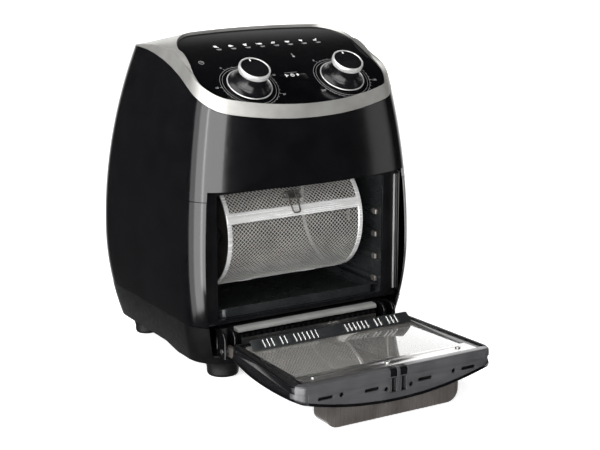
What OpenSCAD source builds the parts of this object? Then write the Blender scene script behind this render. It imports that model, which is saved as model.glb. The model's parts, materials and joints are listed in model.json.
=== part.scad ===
/* [Body] */
// Width of the body at its widest
body_w = 320; // [300:1:340]
// Depth of the body at its widest, without the bow of its faces
body_d = 303.5; // [290:0.5:320]
// Height at which the body is widest
belly_z = 145; // [140:1:150]
// Radius of the front corners seen from above
front_r = 44; // [40:1:50]
// Radius of the rear corners seen from above
rear_r = 52; // [45:1:56]
// Wall of the moulded housings
wall = 2.5; // [2:0.1:3]
// Height of the joint between base and lower housing
base_top = 75; // [74:1:76]
// Height of the joint between the two housings
seam_z = 230; // [226:1:234]

/* [Top] */
// Height of the trim's lower edge at the middle of the front
trim_z = 317; // [314:1:320]
// Height of the trim band
trim_h = 17; // [15:0.5:18]
// Height of the panel's front edge
panel_z = 331; // [329:1:333]
// Thickness of the control panel
panel_t = 3; // [2.5:0.1:4]

/* [Cavity] */
// Inside width of the cavity
cavity_w = 238; // [236:1:238]
// Inside depth of the cavity
cavity_d = 202; // [190:1:210]
// Height of the cavity floor
cavity_z = 78; // [77:1:80]
// Height of the cavity roof
cavity_top = 296; // [292:1:298]
// Sheet thickness of the cavity
sheet = 1; // [0.8:0.1:1.2]

/* [Door] */
// Half width of the door at its top edge
door_top_w = 136; // [134:0.5:136]
// Half width of the door at its hinge edge
door_low_w = 124; // [122:0.5:126]
// Height of the closed door's bottom edge
door_z0 = 71.5; // [71:0.5:73]
// Height of the closed door's top edge
door_z1 = 240.5; // [236:0.5:241]
// Width of the door handle
handle_w = 182; // [150:1:190]

/* [Basket] */
// Radius of the basket
basket_r = 72; // [68:0.5:73]
// Length of the basket
basket_l = 194; // [180:1:196]
// Height of the basket's axis
basket_z = 173; // [172:0.5:175]

/* [Knobs] */
// Distance of each knob from the middle
knob_x = 65; // [60:1:70]
// Radius of the knob's skirt ring
knob_r = 28.3; // [26:0.1:30]

/* [Hidden] */
$fn = 48;

// The body leans in above and below its widest height, faster below than above.
side_lean = [5.1, 12.0];
front_lean = [3.2, 11.0];
rear_lean = [7.0, 9.8];
front_bow = 15.5;
rear_bow = 6;
axis_y = -142;
axis_z = 45;
basket_y = -40;
reach = axis_y - (door_z1 - axis_z);
rear_y = body_d / 2 + (body_w / 2 - rear_r) * tan(rear_bow / 2);
vent_out = 1.8;
body_y = (-reach - rear_y - vent_out) / 2;

function lean(z, k) = k[z > belly_z ? 0 : 1] * pow((z - belly_z) / 100, 2);
function half_w(z) = body_w / 2 - lean(z, side_lean);
function front_d(z) = body_d / 2 - lean(z, front_lean);
function rear_d(z) = body_d / 2 - lean(z, rear_lean);

// Points per stretch of half an outline: bowed front, corner, side, rear corner, bowed rear.
steps = [6, 6, 4, 6, 5];
half_n = steps[0] + steps[1] + steps[2] + steps[3] + steps[4];

// A bowed face of half width c, tangent to corners of radius r at the angle bow.
function bow_pt(c, r, y, bow, a) =
    let (big = r + c / sin(bow)) [big * sin(a), y + c / tan(bow) - big * cos(a)];
function half_outline(w, f, r, rf, rr) =
    let (cf = w - rf, cr = w - rr, s = steps)
    concat(
        [for (i = [0:s[0] - 1]) bow_pt(cf, rf, rf - f, front_bow, front_bow * i / s[0])],
        [for (i = [0:s[1] - 1]) let (a = front_bow + (90 - front_bow) * i / s[1])
            [cf + rf * sin(a), rf - f - rf * cos(a)]],
        [for (i = [0:s[2] - 1]) [w, rf - f + (r - rr - rf + f) * i / s[2]]],
        [for (i = [0:s[3] - 1]) let (a = (90 - rear_bow) * i / s[3])
            [cr + rr * cos(a), r - rr + rr * sin(a)]],
        [for (i = [0:s[4]]) let (p = bow_pt(cr, rr, rr - r, rear_bow, rear_bow * (1 - i / s[4])))
            [p[0], -p[1]]]);
function outline(w, f, r, rf, rr) =
    let (h = half_outline(w, f, r, rf, rr))
    concat(h, [for (i = [half_n - 1:-1:1]) [-h[i][0], h[i][1]]]);
// Outline of the body at height z, moved in by t.
function body_outline(z, t = 0) =
    outline(half_w(z) - t, front_d(z) - t, rear_d(z) - t, front_r - t, rear_r - t);
ring_n = 2 * half_n;
// The point of the body's surface at outline index k and height z, moved in by t.
function body_pt(k, z, t = 0) = let (p = body_outline(z, t)[k]) [p[0], p[1], z];
// The y of the body's bowed front face at a given x and height.
function face_y(x, z, t = 0) =
    let (w = half_w(z) - t, f = front_d(z) - t, rf = front_r - t, c = w - rf,
        big = rf + c / sin(front_bow), side = abs(x) > big * sin(front_bow))
    side ? rf - f - sqrt(max(0, rf * rf - pow(abs(x) - c, 2)))
         : rf - f + c / tan(front_bow) - sqrt(big * big - x * x);

// Height of the trim's lower edge at a given y: it climbs steeply from the front.
trim_front = 157;
function trim_low(y) =
    trim_z + 79 * (1 - exp(-pow(max(0, y + trim_front) / 86, 1.12)))
    - 8 * pow(max(0, y - 40) / 75, 2);
// Height of the panel's surface at a given y.
panel_front = 152;
function panel_h(y) = let (d = max(0, y + panel_front)) panel_z + 0.73 * d - 0.0014 * d * d;
panel_rear = 3;
function panel_outline(t = 0) =
    [for (p = outline(131 - t, 140 - t, -panel_rear - t, 46 - t, 42 - t))
        [p[0] * (1 - 0.0006 * (p[1] + 140)), p[1]]];

// Joins loops of equal length into one closed skin; wrapped, or with flat ends.
module loft(loops, wrapped = false) {
    n = len(loops[0]);
    m = len(loops);
    last = wrapped ? m - 1 : m - 2;
    sides = [for (i = [0:last]) for (j = [0:n - 1]) let (
        a = i * n + j, b = i * n + (j + 1) % n,
        c = ((i + 1) % m) * n + (j + 1) % n, d = ((i + 1) % m) * n + j)
        each [[a, b, c], [a, c, d]]];
    ends = wrapped ? [] :
        [[for (j = [n - 1:-1:0]) j], [for (j = [0:n - 1]) (m - 1) * n + j]];
    polyhedron(points = [for (l = loops) each l], faces = concat(sides, ends), convexity = 10);
}

module at_body() { translate([0, body_y, 0]) children(); }
// Parts of the open door are drawn upright, as when closed, and swung down.
module at_door() { at_body() translate([0, axis_y, axis_z]) rotate([90, 0, 0])
    translate([0, -axis_y, -axis_z]) children(); }
// A flat plate with round corners, centred on the origin.
module slab(w, d, h, r) {
    linear_extrude(h) {
        square([w - 2 * r, d], center = true);
        square([w, d - 2 * r], center = true);
        for (x = [-1, 1]) for (y = [-1, 1]) translate([x * (w / 2 - r), y * (d / 2 - r)]) circle(r);
    }
}

// ---- housings
fascia_z = 242;
mouth_x = 138.5;
function shell_loop(k, z0, z1, n, t) =
    concat([for (j = [0:n]) body_pt(k, z0 + (z1 - z0) * j / n)],
        [for (j = [n:-1:0]) body_pt(k, z0 + (z1 - z0) * j / n, t)]);
front_pts = body_outline(fascia_z);
function over_mouth(k) = front_pts[k][1] < 0 && abs(front_pts[k][0]) < mouth_x;

module upper_housing() {
    tops = [for (p = body_outline(trim_z + 40)) trim_low(p[1])];
    color("#0a0a0c") at_body()
        loft([for (k = [0:ring_n - 1])
            shell_loop(k, over_mouth(k) ? fascia_z : seam_z + 0.4, tops[k] - 0.3, 5, wall)], true);
}
module lower_housing() {
    open_k = [for (k = [0:half_n]) if (over_mouth(k)) k];
    first = open_k[len(open_k) - 1] + 1;
    color("#0a0a0c") at_body()
        loft([for (k = [first:ring_n - first]) shell_loop(k, base_top, seam_z, 5, wall)]);
}
skirt_z = 25;
module base_pan() {
    rim = body_outline(skirt_z);
    floor_z = 33;
    color("#101012") at_body() {
        loft([for (k = [0:ring_n - 1]) shell_loop(k, rim[k][1] < -45 ? skirt_z : skirt_z + 7,
            over_mouth(k) ? 34.5 : base_top - 0.4, 3, wall)], true);
        difference() {
            loft([for (z = [floor_z + 2.5, floor_z]) [for (p = body_outline(z, 1.2)) [p[0], p[1], z]]]);
            for (x = [-60:15:60]) for (y = [-50, 50])
                translate([x, y, floor_z - 1]) slab(6, 60, 5, 2.9);
        }
    }
}
module base_grille() {
    color("#141416") at_body() {
        translate([-100, -139, 36]) cube([200, 2, 26]);
        for (x = [-96:8:96]) translate([x - 1.5, -143, 36]) cube([3, 4.5, 26]);
    }
}
module rear_vent_cover() {
    arc = rear_r + (body_w / 2 - rear_r) / sin(rear_bow);
    color("#141416") at_body() difference() {
        intersection() {
            translate([0, rear_y - arc, 0]) difference() {
                cylinder(r = arc + vent_out, h = 195, $fn = 900);
                translate([0, 0, -1]) cylinder(r = arc + 0.3, h = 197, $fn = 900);
            }
            translate([-72, 140, 107]) cube([144, 30, 86]);
        }
        for (z = [116:9:180]) for (x = [-40, 0, 40]) translate([x - 17, 140, z]) cube([34, 30, 4]);
    }
}

// ---- top trim and control panel
// How far the ring's inner lip stands above the panel, more towards the back.
function rim_lift(y) = 0.8 + 2.6 * min(1, max(0, (y + 110) / 80));
module bezel_ring() {
    out = body_outline(trim_z + 40);
    inner = panel_outline(-0.3);
    color("#c8c6c0") at_body()
        loft([for (k = [0:ring_n - 1]) let (
            y = out[k][1], z0 = trim_low(y),
            band = trim_h * min(1, max(0.09, (95 - y) / 140)),
            low = body_outline(z0)[k], mid = body_outline(z0 + band, 0.6)[k],
            low_in = body_outline(z0, wall)[k], q = inner[k], zq = panel_h(q[1]) + rim_lift(q[1]))
            [[low[0], low[1], z0], [mid[0], mid[1], z0 + band], [q[0], q[1], max(zq, z0 + 6)],
             [q[0], q[1], panel_h(q[1]) - panel_t], [low_in[0], low_in[1], z0]]], true);
}
module control_panel() {
    rim = panel_outline(0.2);
    rings = [1, 0.8, 0.6, 0.4, 0.2, 0.02];
    cy = -75;
    function row(s, dz) = [for (p = rim) let (y = cy + (p[1] - cy) * s)
        [p[0] * s, y, panel_h(y) + dz]];
    color("#08080a") at_body() difference() {
        loft(concat([for (i = [len(rings) - 1:-1:0]) row(rings[i], -panel_t)],
            [for (s = rings) row(s, 0)]));
        for (x = [-1, 1]) at_knob(x) translate([0, 0, -10]) cylinder(r = 4, h = 20);
        at_lens() translate([0, 0, -6]) slab(38.4, 12.4, 12, 2.2);
    }
}
module at_lens() { translate([0, -105, panel_h(-105)]) rotate([knob_tilt, 0, 0]) children(); }
knob_y = -110.5;
knob_tilt = atan(0.73 - 0.0028 * (knob_y + panel_front));
module at_knob(x) {
    translate([x * knob_x, knob_y, panel_h(knob_y)]) rotate([knob_tilt, 0, 0]) children();
}
module indicator_lens() {
    color("#0c0c10") at_body() at_lens() translate([0, 0, -2.5]) slab(38, 12, 2.3, 2);
}
// ---- cavity
cavity_y0 = -122;
cavity_y1 = cavity_y0 + cavity_d;
module cavity_liner() {
    w = cavity_w / 2;
    color("#2c2f30") at_body() difference() {
        union() {
            difference() {
                translate([-w - sheet, cavity_y0, cavity_z - sheet])
                    cube([cavity_w + 2 * sheet, cavity_d + sheet, cavity_top - cavity_z + 2 * sheet]);
                translate([-w, cavity_y0 - 1, cavity_z])
                    cube([cavity_w, cavity_d + 1, cavity_top - cavity_z]);
            }
            intersection() {
                for (s = [-1, 1]) for (z = rib_z) translate([s * (w + 0.4), cavity_y0 + 8, z])
                    rotate([-90, 0, 0]) cylinder(r = 4.5, h = cavity_d - 24);
                translate([-w - sheet / 2, cavity_y0, cavity_z]) cube([cavity_w + sheet, cavity_d, 180]);
            }
        }
        for (s = [-1, 1]) translate([s < 0 ? -w : w - 8, basket_y - 14, basket_z - 15.5])
            cube([8, 28, 31]);
        translate([-w - 4, basket_y, basket_z]) rotate([0, 90, 0]) cylinder(r = 5.2, h = 6);
        translate([0, fan_y, cavity_top - 1]) cylinder(r = 6, h = 4);
        translate([w - 3, 40, 225]) rotate([0, 90, 0]) cylinder(r = 15, h = 6);
    }
}
rib_z = [94, 123.5, 153, 182.5];
fan_y = -22;
module cavity_frame() {
    color("#1a1b1d") at_body() {
        difference() {
            translate([-139, -125, 72.5]) cube([278, 3, 168]);
            translate([-118.5, -130, 78]) cube([237, 12, 155]);
        }
        for (s = [-1, 1]) translate([s * 138 - 1, -133, 80]) cube([2, 9, 155]);
    }
}
module sill_strip() {
    color("#c9c9c9") at_body() translate([-100, -141, 64.5]) cube([200, 12, 5.5]);
}
module hinge_brackets() {
    color("#0c0c0e") at_body() for (s = [-1, 1]) difference() {
        union() {
            for (x = [106, 119.5]) translate([s * x + (s < 0 ? -4 : 0), -150, 37]) cube([4, 24, 33]);
            translate([s * 114.75 - 8.75, -130, 37]) cube([17.5, 4, 33]);
        }
        translate([s * 100, axis_y, axis_z]) rotate([0, s * 90, 0]) cylinder(r = 3.05, h = 30);
    }
}
coil_r = [38, 58];
coil_z = 274;
module heating_element() {
    color("#5c5650") at_body() {
        for (r = coil_r) translate([0, fan_y, coil_z]) rotate([0, 0, 97])
            rotate_extrude(angle = 346) translate([r, 0]) circle(3.2);
        for (r = coil_r) for (a = [97, 83]) translate([r * cos(a), fan_y + r * sin(a), coil_z - 4])
            cylinder(r = 3.9, h = cavity_top - coil_z + 4);
    }
}
module element_supports() {
    color("#9a9a98") at_body() for (a = [0, 180, 270]) for (r = coil_r)
        translate([r * cos(a) - 2, fan_y + r * sin(a) - 2, coil_z + 3.2])
            cube([4, 4, cavity_top - coil_z - 3.2]);
}
module fan_grille() {
    color("#3a3d3e") at_body() difference() {
        translate([-cavity_w / 2 + 0.2, -115, 260]) cube([cavity_w - 0.4, 190, 1]);
        for (x = [-60:12:60]) for (s = [-1, 1]) translate([x - 3, fan_y + s * 34 - 24, 259]) cube([6, 48, 3]);
        for (s = [-1, 1]) for (i = [-3:3]) translate([s * 96 - 10, fan_y + i * 22 - 3, 259]) cube([20, 6, 3]);
    }
}
module fan_motor() {
    color("#8c8c8a") at_body() translate([0, fan_y, cavity_top + sheet]) difference() {
        union() {
            translate([-36, -6, 0]) cube([72, 12, 2]);
            translate([0, 0, 2]) cylinder(r = 29, h = 30);
            translate([0, 0, 32]) cylinder(r = 11, h = 6);
        }
        translate([0, 0, -1]) cylinder(r = 4.05, h = 24);
    }
}
module drive_motor() {
    x0 = -cavity_w / 2 - sheet;
    color("#b5b5b0") at_body() translate([x0, basket_y, basket_z]) rotate([0, -90, 0]) difference() {
        union() {
            cylinder(r = 25, h = 17);
            translate([-4, -36, 0]) cube([8, 72, 1.5]);
        }
        translate([0, 0, -1]) cylinder(r = 4.05, h = 11);
    }
}
module idler_bracket() {
    w = cavity_w / 2;
    color("#a8a8a4") at_body() difference() {
        translate([w - 14, basket_y - 12, basket_z - 15]) cube([14, 24, 19.5]);
        translate([w - 15, basket_y, basket_z]) rotate([0, 90, 0]) cylinder(r = 4.1, h = 11);
        translate([w - 15, basket_y - 4.1, basket_z]) cube([11, 8.2, 20]);
        translate([w - 9, basket_y - 13, basket_z - 20]) cube([12, 5, 40]);
    }
}
module unit_box(x, colour) {
    color(colour) at_body() at_knob(x) difference() {
        translate([-21, -19, -36]) cube([42, 38, 31]);
        translate([0, 0, -24]) cylinder(r = 3.05, h = 30);
    }
}
module timer_unit() { unit_box(-1, "#9c8f5a"); }
module thermostat_unit() { unit_box(1, "#b8b4ac"); }
module control_board() {
    color("#1f5a34") at_body() translate([0, -70, panel_h(-70)]) rotate([26, 0, 0])
        translate([-38, -28, -16]) {
            cube([76, 70, 1.6]);
            translate([8, 40, 1.6]) cube([16, 14, 8]);
            translate([34, 44, 1.6]) cube([26, 12, 6]);
        }
}
module cavity_lamp() {
    w = cavity_w / 2;
    color("#d8d4cc") at_body() translate([w + sheet, 40, 225]) rotate([0, 90, 0]) difference() {
        cylinder(r = 17, h = 16);
        translate([0, 0, -1]) cylinder(r = 13, h = 14);
    }
}
module lamp_lens() {
    w = cavity_w / 2;
    color("#e8e4d4") at_body() translate([w - 1.8, 40, 225]) rotate([0, 90, 0]) cylinder(r = 14.8, h = 2.7);
}
module heat_shield() {
    color("#b0b0ac") at_body() difference() {
        translate([-100, -60, 341]) cube([200, 130, 1]);
        translate([-40, -64, 340]) cube([80, 20, 3]);
    }
}
module cord_gland() {
    out = rear_y + vent_out - 152.6;
    color("#121214") at_body() translate([95, 152.6, 100]) rotate([-90, 0, 0]) difference() {
        union() {
            cylinder(r = 9, h = 2.5);
            cylinder(r = 7, h = out);
        }
        translate([0, 0, -1]) cylinder(r = 3.6, h = out + 2);
    }
}
// Each foot's x, y and radius: the front pair are wide pads under the corners.
foot_at = [[-98, -96, 20], [98, -96, 20], [-107, 104, 15], [107, 104, 15]];
foot_h = 33;
module feet() {
    color("#17171a") at_body() for (f = foot_at) translate([f[0], f[1], 0]) difference() {
        union() {
            cylinder(r1 = f[2] - 1.5, r2 = f[2], h = 2);
            translate([0, 0, 2]) cylinder(r = f[2], h = foot_h - 2);
        }
        translate([0, 0, -1]) cylinder(r = 5, h = 8);
        translate([0, 0, 4]) cylinder(r = 2, h = foot_h);
    }
}
module base_screws() {
    color("#8e8e90") at_body() for (f = foot_at) translate([f[0], f[1], 0]) {
        translate([0, 0, 4.6]) cylinder(r = 3.6, h = 2.4);
        translate([0, 0, 6]) cylinder(r = 1.95, h = foot_h - 6.5);
    }
}
module rear_screws() {
    color("#8e8e90") at_body() for (s = [-1, 1]) for (z = [112, 188])
        translate([s * 66, rear_y - 0.05, z]) rotate([-90, 0, 0]) cylinder(r = 3.2, h = 1.6);
}

// ---- knobs
module knob_skirt(x) {
    color("#0c0c0e") at_body() at_knob(x)
        rotate_extrude() polygon([[3.1, 1], [knob_r, 1], [knob_r, 2.2], [24.5, 3], [21, 7],
            [3.1, 7]]);
}
module knob_body(x) {
    color("#0c0c0e") at_body() at_knob(x)
        rotate_extrude() polygon([[3.1, 7], [20.8, 7], [17.6, 15], [17.2, 22], [17.2, 26.5],
            [0, 26.5], [0, 20], [3.1, 20]]);
}
module knob_ring(x) {
    color("#d0d0ce") at_body() at_knob(x)
        rotate_extrude() polygon([[17.4, 19.5], [18.6, 19.5], [19.6, 21], [19.6, 26], [18.9, 27],
            [17.4, 27]]);
}
module knob_shaft(x) {
    color("#c0b070") at_body() at_knob(x) translate([0, 0, -20]) cylinder(r = 3, h = 39.9);
}
module timer_knob_skirt() { knob_skirt(-1); }
module timer_knob_body() { knob_body(-1); }
module timer_knob_ring() { knob_ring(-1); }
module timer_knob_shaft() { knob_shaft(-1); }
module thermostat_knob_skirt() { knob_skirt(1); }
module thermostat_knob_body() { knob_body(1); }
module thermostat_knob_ring() { knob_ring(1); }
module thermostat_knob_shaft() { knob_shaft(1); }

// ---- door, drawn closed
door_in = -127;
glass_w = 112;
glass_z0 = 92;
glass_z1 = 222;
function door_half(z) =
    door_low_w + (door_top_w - door_low_w) * (z - door_z0) / (door_z1 - door_z0);
door_cols = 28;
// Part of the door's barrel face between two depths, with top corners of radius r.
function corner_cut(z, z1, r) =
    z > z1 - r ? r - sqrt(max(0, r * r - pow(z - z1 + r, 2))) : 0;
module door_skin(t0, t1, w0, w1, z0, z1, r = 0) {
    zs = concat([for (j = [0:6]) z0 + (z1 - r - z0) * j / 6],
        r > 0 ? [for (a = [25:20:85]) z1 - r + r * sin(a)] : [], r > 0 ? [z1] : []);
    n = len(zs) - 1;
    function at(u, z, t) = let (
        x = u * (w0 + (w1 - w0) * (z - z0) / (z1 - z0) - corner_cut(z, z1, r))) [x, face_y(x, z, t), z];
    loft([for (i = [-door_cols / 2:door_cols / 2]) let (u = 2 * i / door_cols) concat(
        [for (j = [0:n]) at(u, zs[j], t0)], [for (j = [n:-1:0]) at(u, zs[j], t1)])]);
}
module door_outer_shell() {
    color("#0a0a0c") at_door() difference() {
        door_skin(0, 3, door_low_w, door_top_w, door_z0, door_z1, 16);
        translate([-100, -190, 98]) cube([200, 60, 92]);
    }
}
module door_outer_glass() {
    color("#1a1c20", 0.6) at_door() door_skin(3.2, 6.2, 106, 106, 92, 196);
}
// Outline of the door seen from the front, moved in by t.
module door_face(t, r) {
    w0 = door_low_w - t;
    w1 = door_top_w - t;
    z0 = door_z0 + t;
    z1 = door_z1 - t;
    polygon(concat(
        [[w0, z0], [w1, z1 - r]],
        [for (a = [15:15:75]) [w1 - r + r * cos(a), z1 - r + r * sin(a)]],
        [[w1 - r, z1], [-w1 + r, z1]],
        [for (a = [105:15:165]) [-w1 + r + r * cos(a), z1 - r + r * sin(a)]],
        [[-w1, z1 - r], [-w0, z0]]));
}
module upright(y, t) { translate([0, y + t, 0]) rotate([90, 0, 0]) linear_extrude(t) children(); }
module door_inner_frame() {
    color("#46464a") at_door() difference() {
        union() {
            upright(door_in - 8, 8) difference() {
                door_face(0.3, 16);
                translate([-glass_w - 2, glass_z0 - 10]) square([2 * glass_w + 4, glass_z1 - glass_z0 + 16]);
            }
            for (s = [[door_z0 + 0.6, 112], [door_z1 - 3.6, 120]]) translate([0, 0, s[0]]) linear_extrude(3)
                polygon(concat([for (x = [-s[1]:8:s[1]]) [x, face_y(x, s[0], 3.4)]],
                    [[s[1], door_in - 7], [-s[1], door_in - 7]]));
        }
        for (x = [-98, -36.5, 36.5, 98]) translate([x - 10, -147, door_z1 - 8]) cube([20, 4, 12]);
        for (x = [-77, -17, 17, 77]) translate([x, -149, door_z1 - 8]) cylinder(r = 2.8, h = 12);
        for (x = [-12, 1.5]) translate([x, -155, door_z1 - 8]) cube([9.5, 30, 12]);
    }
}
module door_gasket() {
    color("#1c1c1e") at_door() upright(door_in, 1.8) difference() {
        door_face(2.2, 14);
        door_face(6, 12);
    }
}
module door_inner_glass() {
    color("#9fb0b4", 0.4) at_door() upright(door_in - 4, 4)
        translate([-glass_w - 1.8, glass_z0 - 9.8]) square([2 * glass_w + 3.6, glass_z1 - glass_z0 + 15.6]);
}
module door_glass_strip() {
    color("#b9b9b7") at_door() upright(door_in + 0.1, 1)
        polygon([[-118, 205], [118, 205], [119.5, 227], [-119.5, 227]]);
}
module door_vent_strip() {
    color("#3a3c3e") at_door() difference() {
        translate([-112, door_in, 0]) rotate([90, 0, 90]) linear_extrude(224) polygon(
            [[0.1, 97], [0.1, 105], [1, 105], [10.9, 92.2], [10.1, 91.6], [1.1, 103.2], [1.1, 97]]);
        for (g = [[-88, 3], [-67, 2], [-36, 6], [36, 6], [67, 2], [88, 3]]) for (i = [0:g[1] - 1])
            translate([g[0] + (i - (g[1] - 1) / 2) * 6 - 1.3, door_in + 2.5, 88]) cube([2.6, 7, 18]);
    }
}
module door_screws() {
    color("#8a8a8c") at_door() for (x = [-100, 0, 100]) translate([x, door_in + 1.1, 216])
        rotate([-90, 0, 0]) cylinder(r = 3, h = 1.4);
}
handle_z0 = 203;
handle_z1 = 230;
handle_y = axis_y - axis_z + 2;
function handle_front(x) = let (r = 15, c = handle_w / 2 - r)
    abs(x) <= c ? handle_y : handle_y + r - sqrt(max(0, r * r - pow(abs(x) - c, 2)));
module door_handle() {
    w = handle_w / 2;
    t = 3;
    inner = [for (i = [-14:14]) i / 14 * (w - 4)];
    xs = concat([-w, -w + 1.5, -w + 3.8], inner, [w - 3.8, w - 1.5, w]);
    color("#58524e") at_door() loft([for (x = xs) let (f = handle_front(x),
        roof = abs(x) > w - 3.9 ? handle_z0 + 0.1 : handle_z1 - t)
        [[x, face_y(x, handle_z1, -0.3), handle_z1], [x, f, handle_z1], [x, f, handle_z0],
         [x, f + t, handle_z0], [x, f + t, roof], [x, face_y(x, roof, -0.3), roof]]]);
}
module handle_screws() {
    color("#8a8a8c") at_door() for (s = [-1, 1])
        translate([s * 60, face_y(60, 216, 3) + 0.7, 216]) rotate([-90, 0, 0]) cylinder(r = 3.4, h = 2);
}
module hinge_arms() {
    color("#8e8e8c") at_door() for (s = [-1, 1]) difference() {
        union() {
            translate([s * 114.75 - 2.5, axis_y - 5.5, axis_z]) cube([5, door_in - 8 - axis_y + 5.5, 25.5]);
            translate([s * 114.75 - 2.5, axis_y + 0.5, axis_z]) cube([5, door_in - 8.5 - axis_y, 44]);
            translate([s * 114.75 - 2.5, axis_y, axis_z]) rotate([0, 90, 0]) cylinder(r = 5.5, h = 5);
        }
        translate([s * 114.75 - 5, axis_y, axis_z]) rotate([0, 90, 0]) cylinder(r = 3, h = 10);
    }
}
module hinge_pins() {
    color("#b0b0b0") at_body() for (s = [-1, 1]) translate([s * 114.75 - 9.5, axis_y, axis_z])
        rotate([0, 90, 0]) cylinder(r = 3, h = 19);
}

// ---- rotisserie basket
// The lid spans the arc between the two seams, seen from the right, measured from the rear.
lid_a0 = 160;
lid_a1 = 255;
basket_t = 0.8;
module at_basket() { at_body() translate([0, basket_y, basket_z]) children(); }
// Draws in the plane across the axis: local x to the rear, local y up.
module across(x, l) { translate([x, 0, 0]) rotate([90, 0, 90]) linear_extrude(l) children(); }
module sector(a0, a1, r) {
    n = ceil((a1 - a0) / 15);
    polygon(concat([[0, 0]], [for (i = [0:n]) let (a = a0 + (a1 - a0) * i / n)
        [r * cos(a), r * sin(a)] / cos(7.5)]));
}
module arc_wall(a0, a1, r, t) {
    intersection() {
        difference() {
            circle(r, $fn = 96);
            circle(r - t, $fn = 96);
        }
        sector(a0, a1, r + 2);
    }
}
module basket_drum() {
    color("#a4a29e") at_basket() across(-basket_l / 2 + 1, basket_l - 2)
        arc_wall(lid_a1 + 1.5, lid_a0 + 360 - 1.5, basket_r, basket_t);
}
module basket_end_caps() {
    l = basket_l / 2;
    color("#bdbbb7") at_basket() for (s = [-1, 1]) difference() {
        translate([s * l - (s > 0 ? 1 : 0), 0, 0]) rotate([0, 90, 0]) cylinder(r = basket_r + 0.6, h = 1);
        for (a = [0:60:300]) rotate([a, 0, 0]) translate([s * l - 2, 42, 0]) rotate([0, 90, 0])
            cylinder(r = 9, h = 4);
        translate([s * l - 2, 0, 0]) rotate([0, 90, 0]) cylinder(r = 3.9, h = 4);
    }
}
module rail(a, out) {
    rotate([a, 0, 0]) translate([-basket_l / 2 + 1.1, basket_r, out > 0 ? 0.4 : -5.4])
        cube([basket_l - 2.2, 1.2, 5]);
}
module basket_rails() {
    color("#d4d4d2") at_basket() {
        rail(lid_a0 - 5.2, 1);
        rail(lid_a1 + 5.0, -1);
    }
}
module lid_rails() {
    color("#d4d4d2") at_basket() {
        rail(lid_a0 + 5.2, -1);
        for (x = [-54, 40]) translate([x, 0, 0]) {
            rotate([lid_a1 - 1.2, 0, 0]) translate([0, basket_r + 0.2, -5]) cube([15, 1.4, 6]);
            rotate([lid_a1, 0, 0]) translate([0, basket_r + 1, 0]) rotate([0, 90, 0])
                cylinder(r = 0.8, h = 15);
        }
    }
}
module basket_spindles() {
    l = basket_l / 2;
    w = cavity_w / 2;
    color("#b8b8b6") at_basket() {
        translate([l - 1, 0, 0]) rotate([0, 90, 0]) cylinder(r = 3.8, h = w - 4.5 - l);
        translate([-l - 7, 0, 0]) rotate([0, 90, 0]) cylinder(r = 3.8, h = 8);
        translate([-w + 5.5, -3.2, -3.2]) cube([w - l - 12, 6.4, 6.4]);
    }
}
module basket_lid() {
    color("#a4a29e") at_basket() across(-basket_l / 2 + 1.4, basket_l - 2.8)
        arc_wall(lid_a0 + 1.5, lid_a1 - 1.5, basket_r, basket_t);
}
module basket_latch() {
    color("#8e8e8c") at_basket() rotate([lid_a0 - 14, 0, 0]) translate([-7, basket_r + 0.3, 0]) {
        translate([-6, 0, -7]) cube([26, 0.8, 10]);
        translate([-6, 0.8, -7]) rotate([0, 90, 0]) cylinder(r = 0.7, h = 26);
        for (x = [0, 11]) translate([x, 0.8, -4]) cube([2, 1.2, 26]);
        translate([0, 0.8, 20]) cube([13, 1.2, 2]);
    }
}
module drive_socket() {
    w = cavity_w / 2;
    color("#c4c4c0") at_basket() difference() {
        union() {
            translate([-w + 0.5, 0, 0]) rotate([0, 90, 0]) cylinder(r = 9, h = 14);
            translate([-w - 10.5, 0, 0]) rotate([0, 90, 0]) cylinder(r = 4, h = 11.5);
        }
        translate([-w + 5, -3.3, -3.3]) cube([20, 6.6, 6.6]);
    }
}
module fan_blades() {
    color("#9c9c9a") at_body() translate([0, fan_y, 281]) difference() {
        union() {
            cylinder(r = 30, h = 1);
            cylinder(r = 7, h = 8);
            for (a = [0:45:315]) rotate([0, 0, a]) translate([12, -0.5, 0]) cube([20, 1, 10]);
        }
        translate([0, 0, -1]) cylinder(r = 3, h = 12);
    }
}
module fan_shaft() {
    color("#b8b8b6") at_body() translate([0, fan_y, 279]) {
        cylinder(r = 3, h = 38);
        translate([0, 0, 18.5]) cylinder(r = 4, h = 15);
    }
}
module drip_tray() {
    color("#3c3e40") at_body() translate([0, cavity_y0 + 4, cavity_z + 0.6]) difference() {
        union() {
            translate([0, 93, 0]) slab(224, 186, 11, 10);
            translate([-117, 0, 10]) cube([234, 186, 1]);
        }
        translate([0, 93, 1]) slab(222, 184, 20, 9);
    }
}

upper_housing();
lower_housing();
base_pan();
base_grille();
rear_vent_cover();
bezel_ring();
control_panel();
indicator_lens();
cavity_liner();
cavity_frame();
sill_strip();
hinge_brackets();
heating_element();
element_supports();
fan_grille();
fan_motor();
drive_motor();
idler_bracket();
timer_unit();
thermostat_unit();
control_board();
cavity_lamp();
lamp_lens();
heat_shield();
cord_gland();
feet();
base_screws();
rear_screws();
timer_knob_skirt();
timer_knob_body();
timer_knob_ring();
timer_knob_shaft();
thermostat_knob_skirt();
thermostat_knob_body();
thermostat_knob_ring();
thermostat_knob_shaft();
door_outer_shell();
door_outer_glass();
door_inner_frame();
door_gasket();
door_inner_glass();
door_glass_strip();
door_vent_strip();
door_screws();
door_handle();
handle_screws();
hinge_arms();
hinge_pins();
basket_drum();
basket_end_caps();
basket_rails();
basket_spindles();
basket_lid();
lid_rails();
basket_latch();
drive_socket();
fan_blades();
fan_shaft();
drip_tray();
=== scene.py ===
"""Looks of the rotisserie oven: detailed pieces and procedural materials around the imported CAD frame."""
import json
from math import atan, cos, degrees, exp, pi, radians, sin, sqrt, tan

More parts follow.
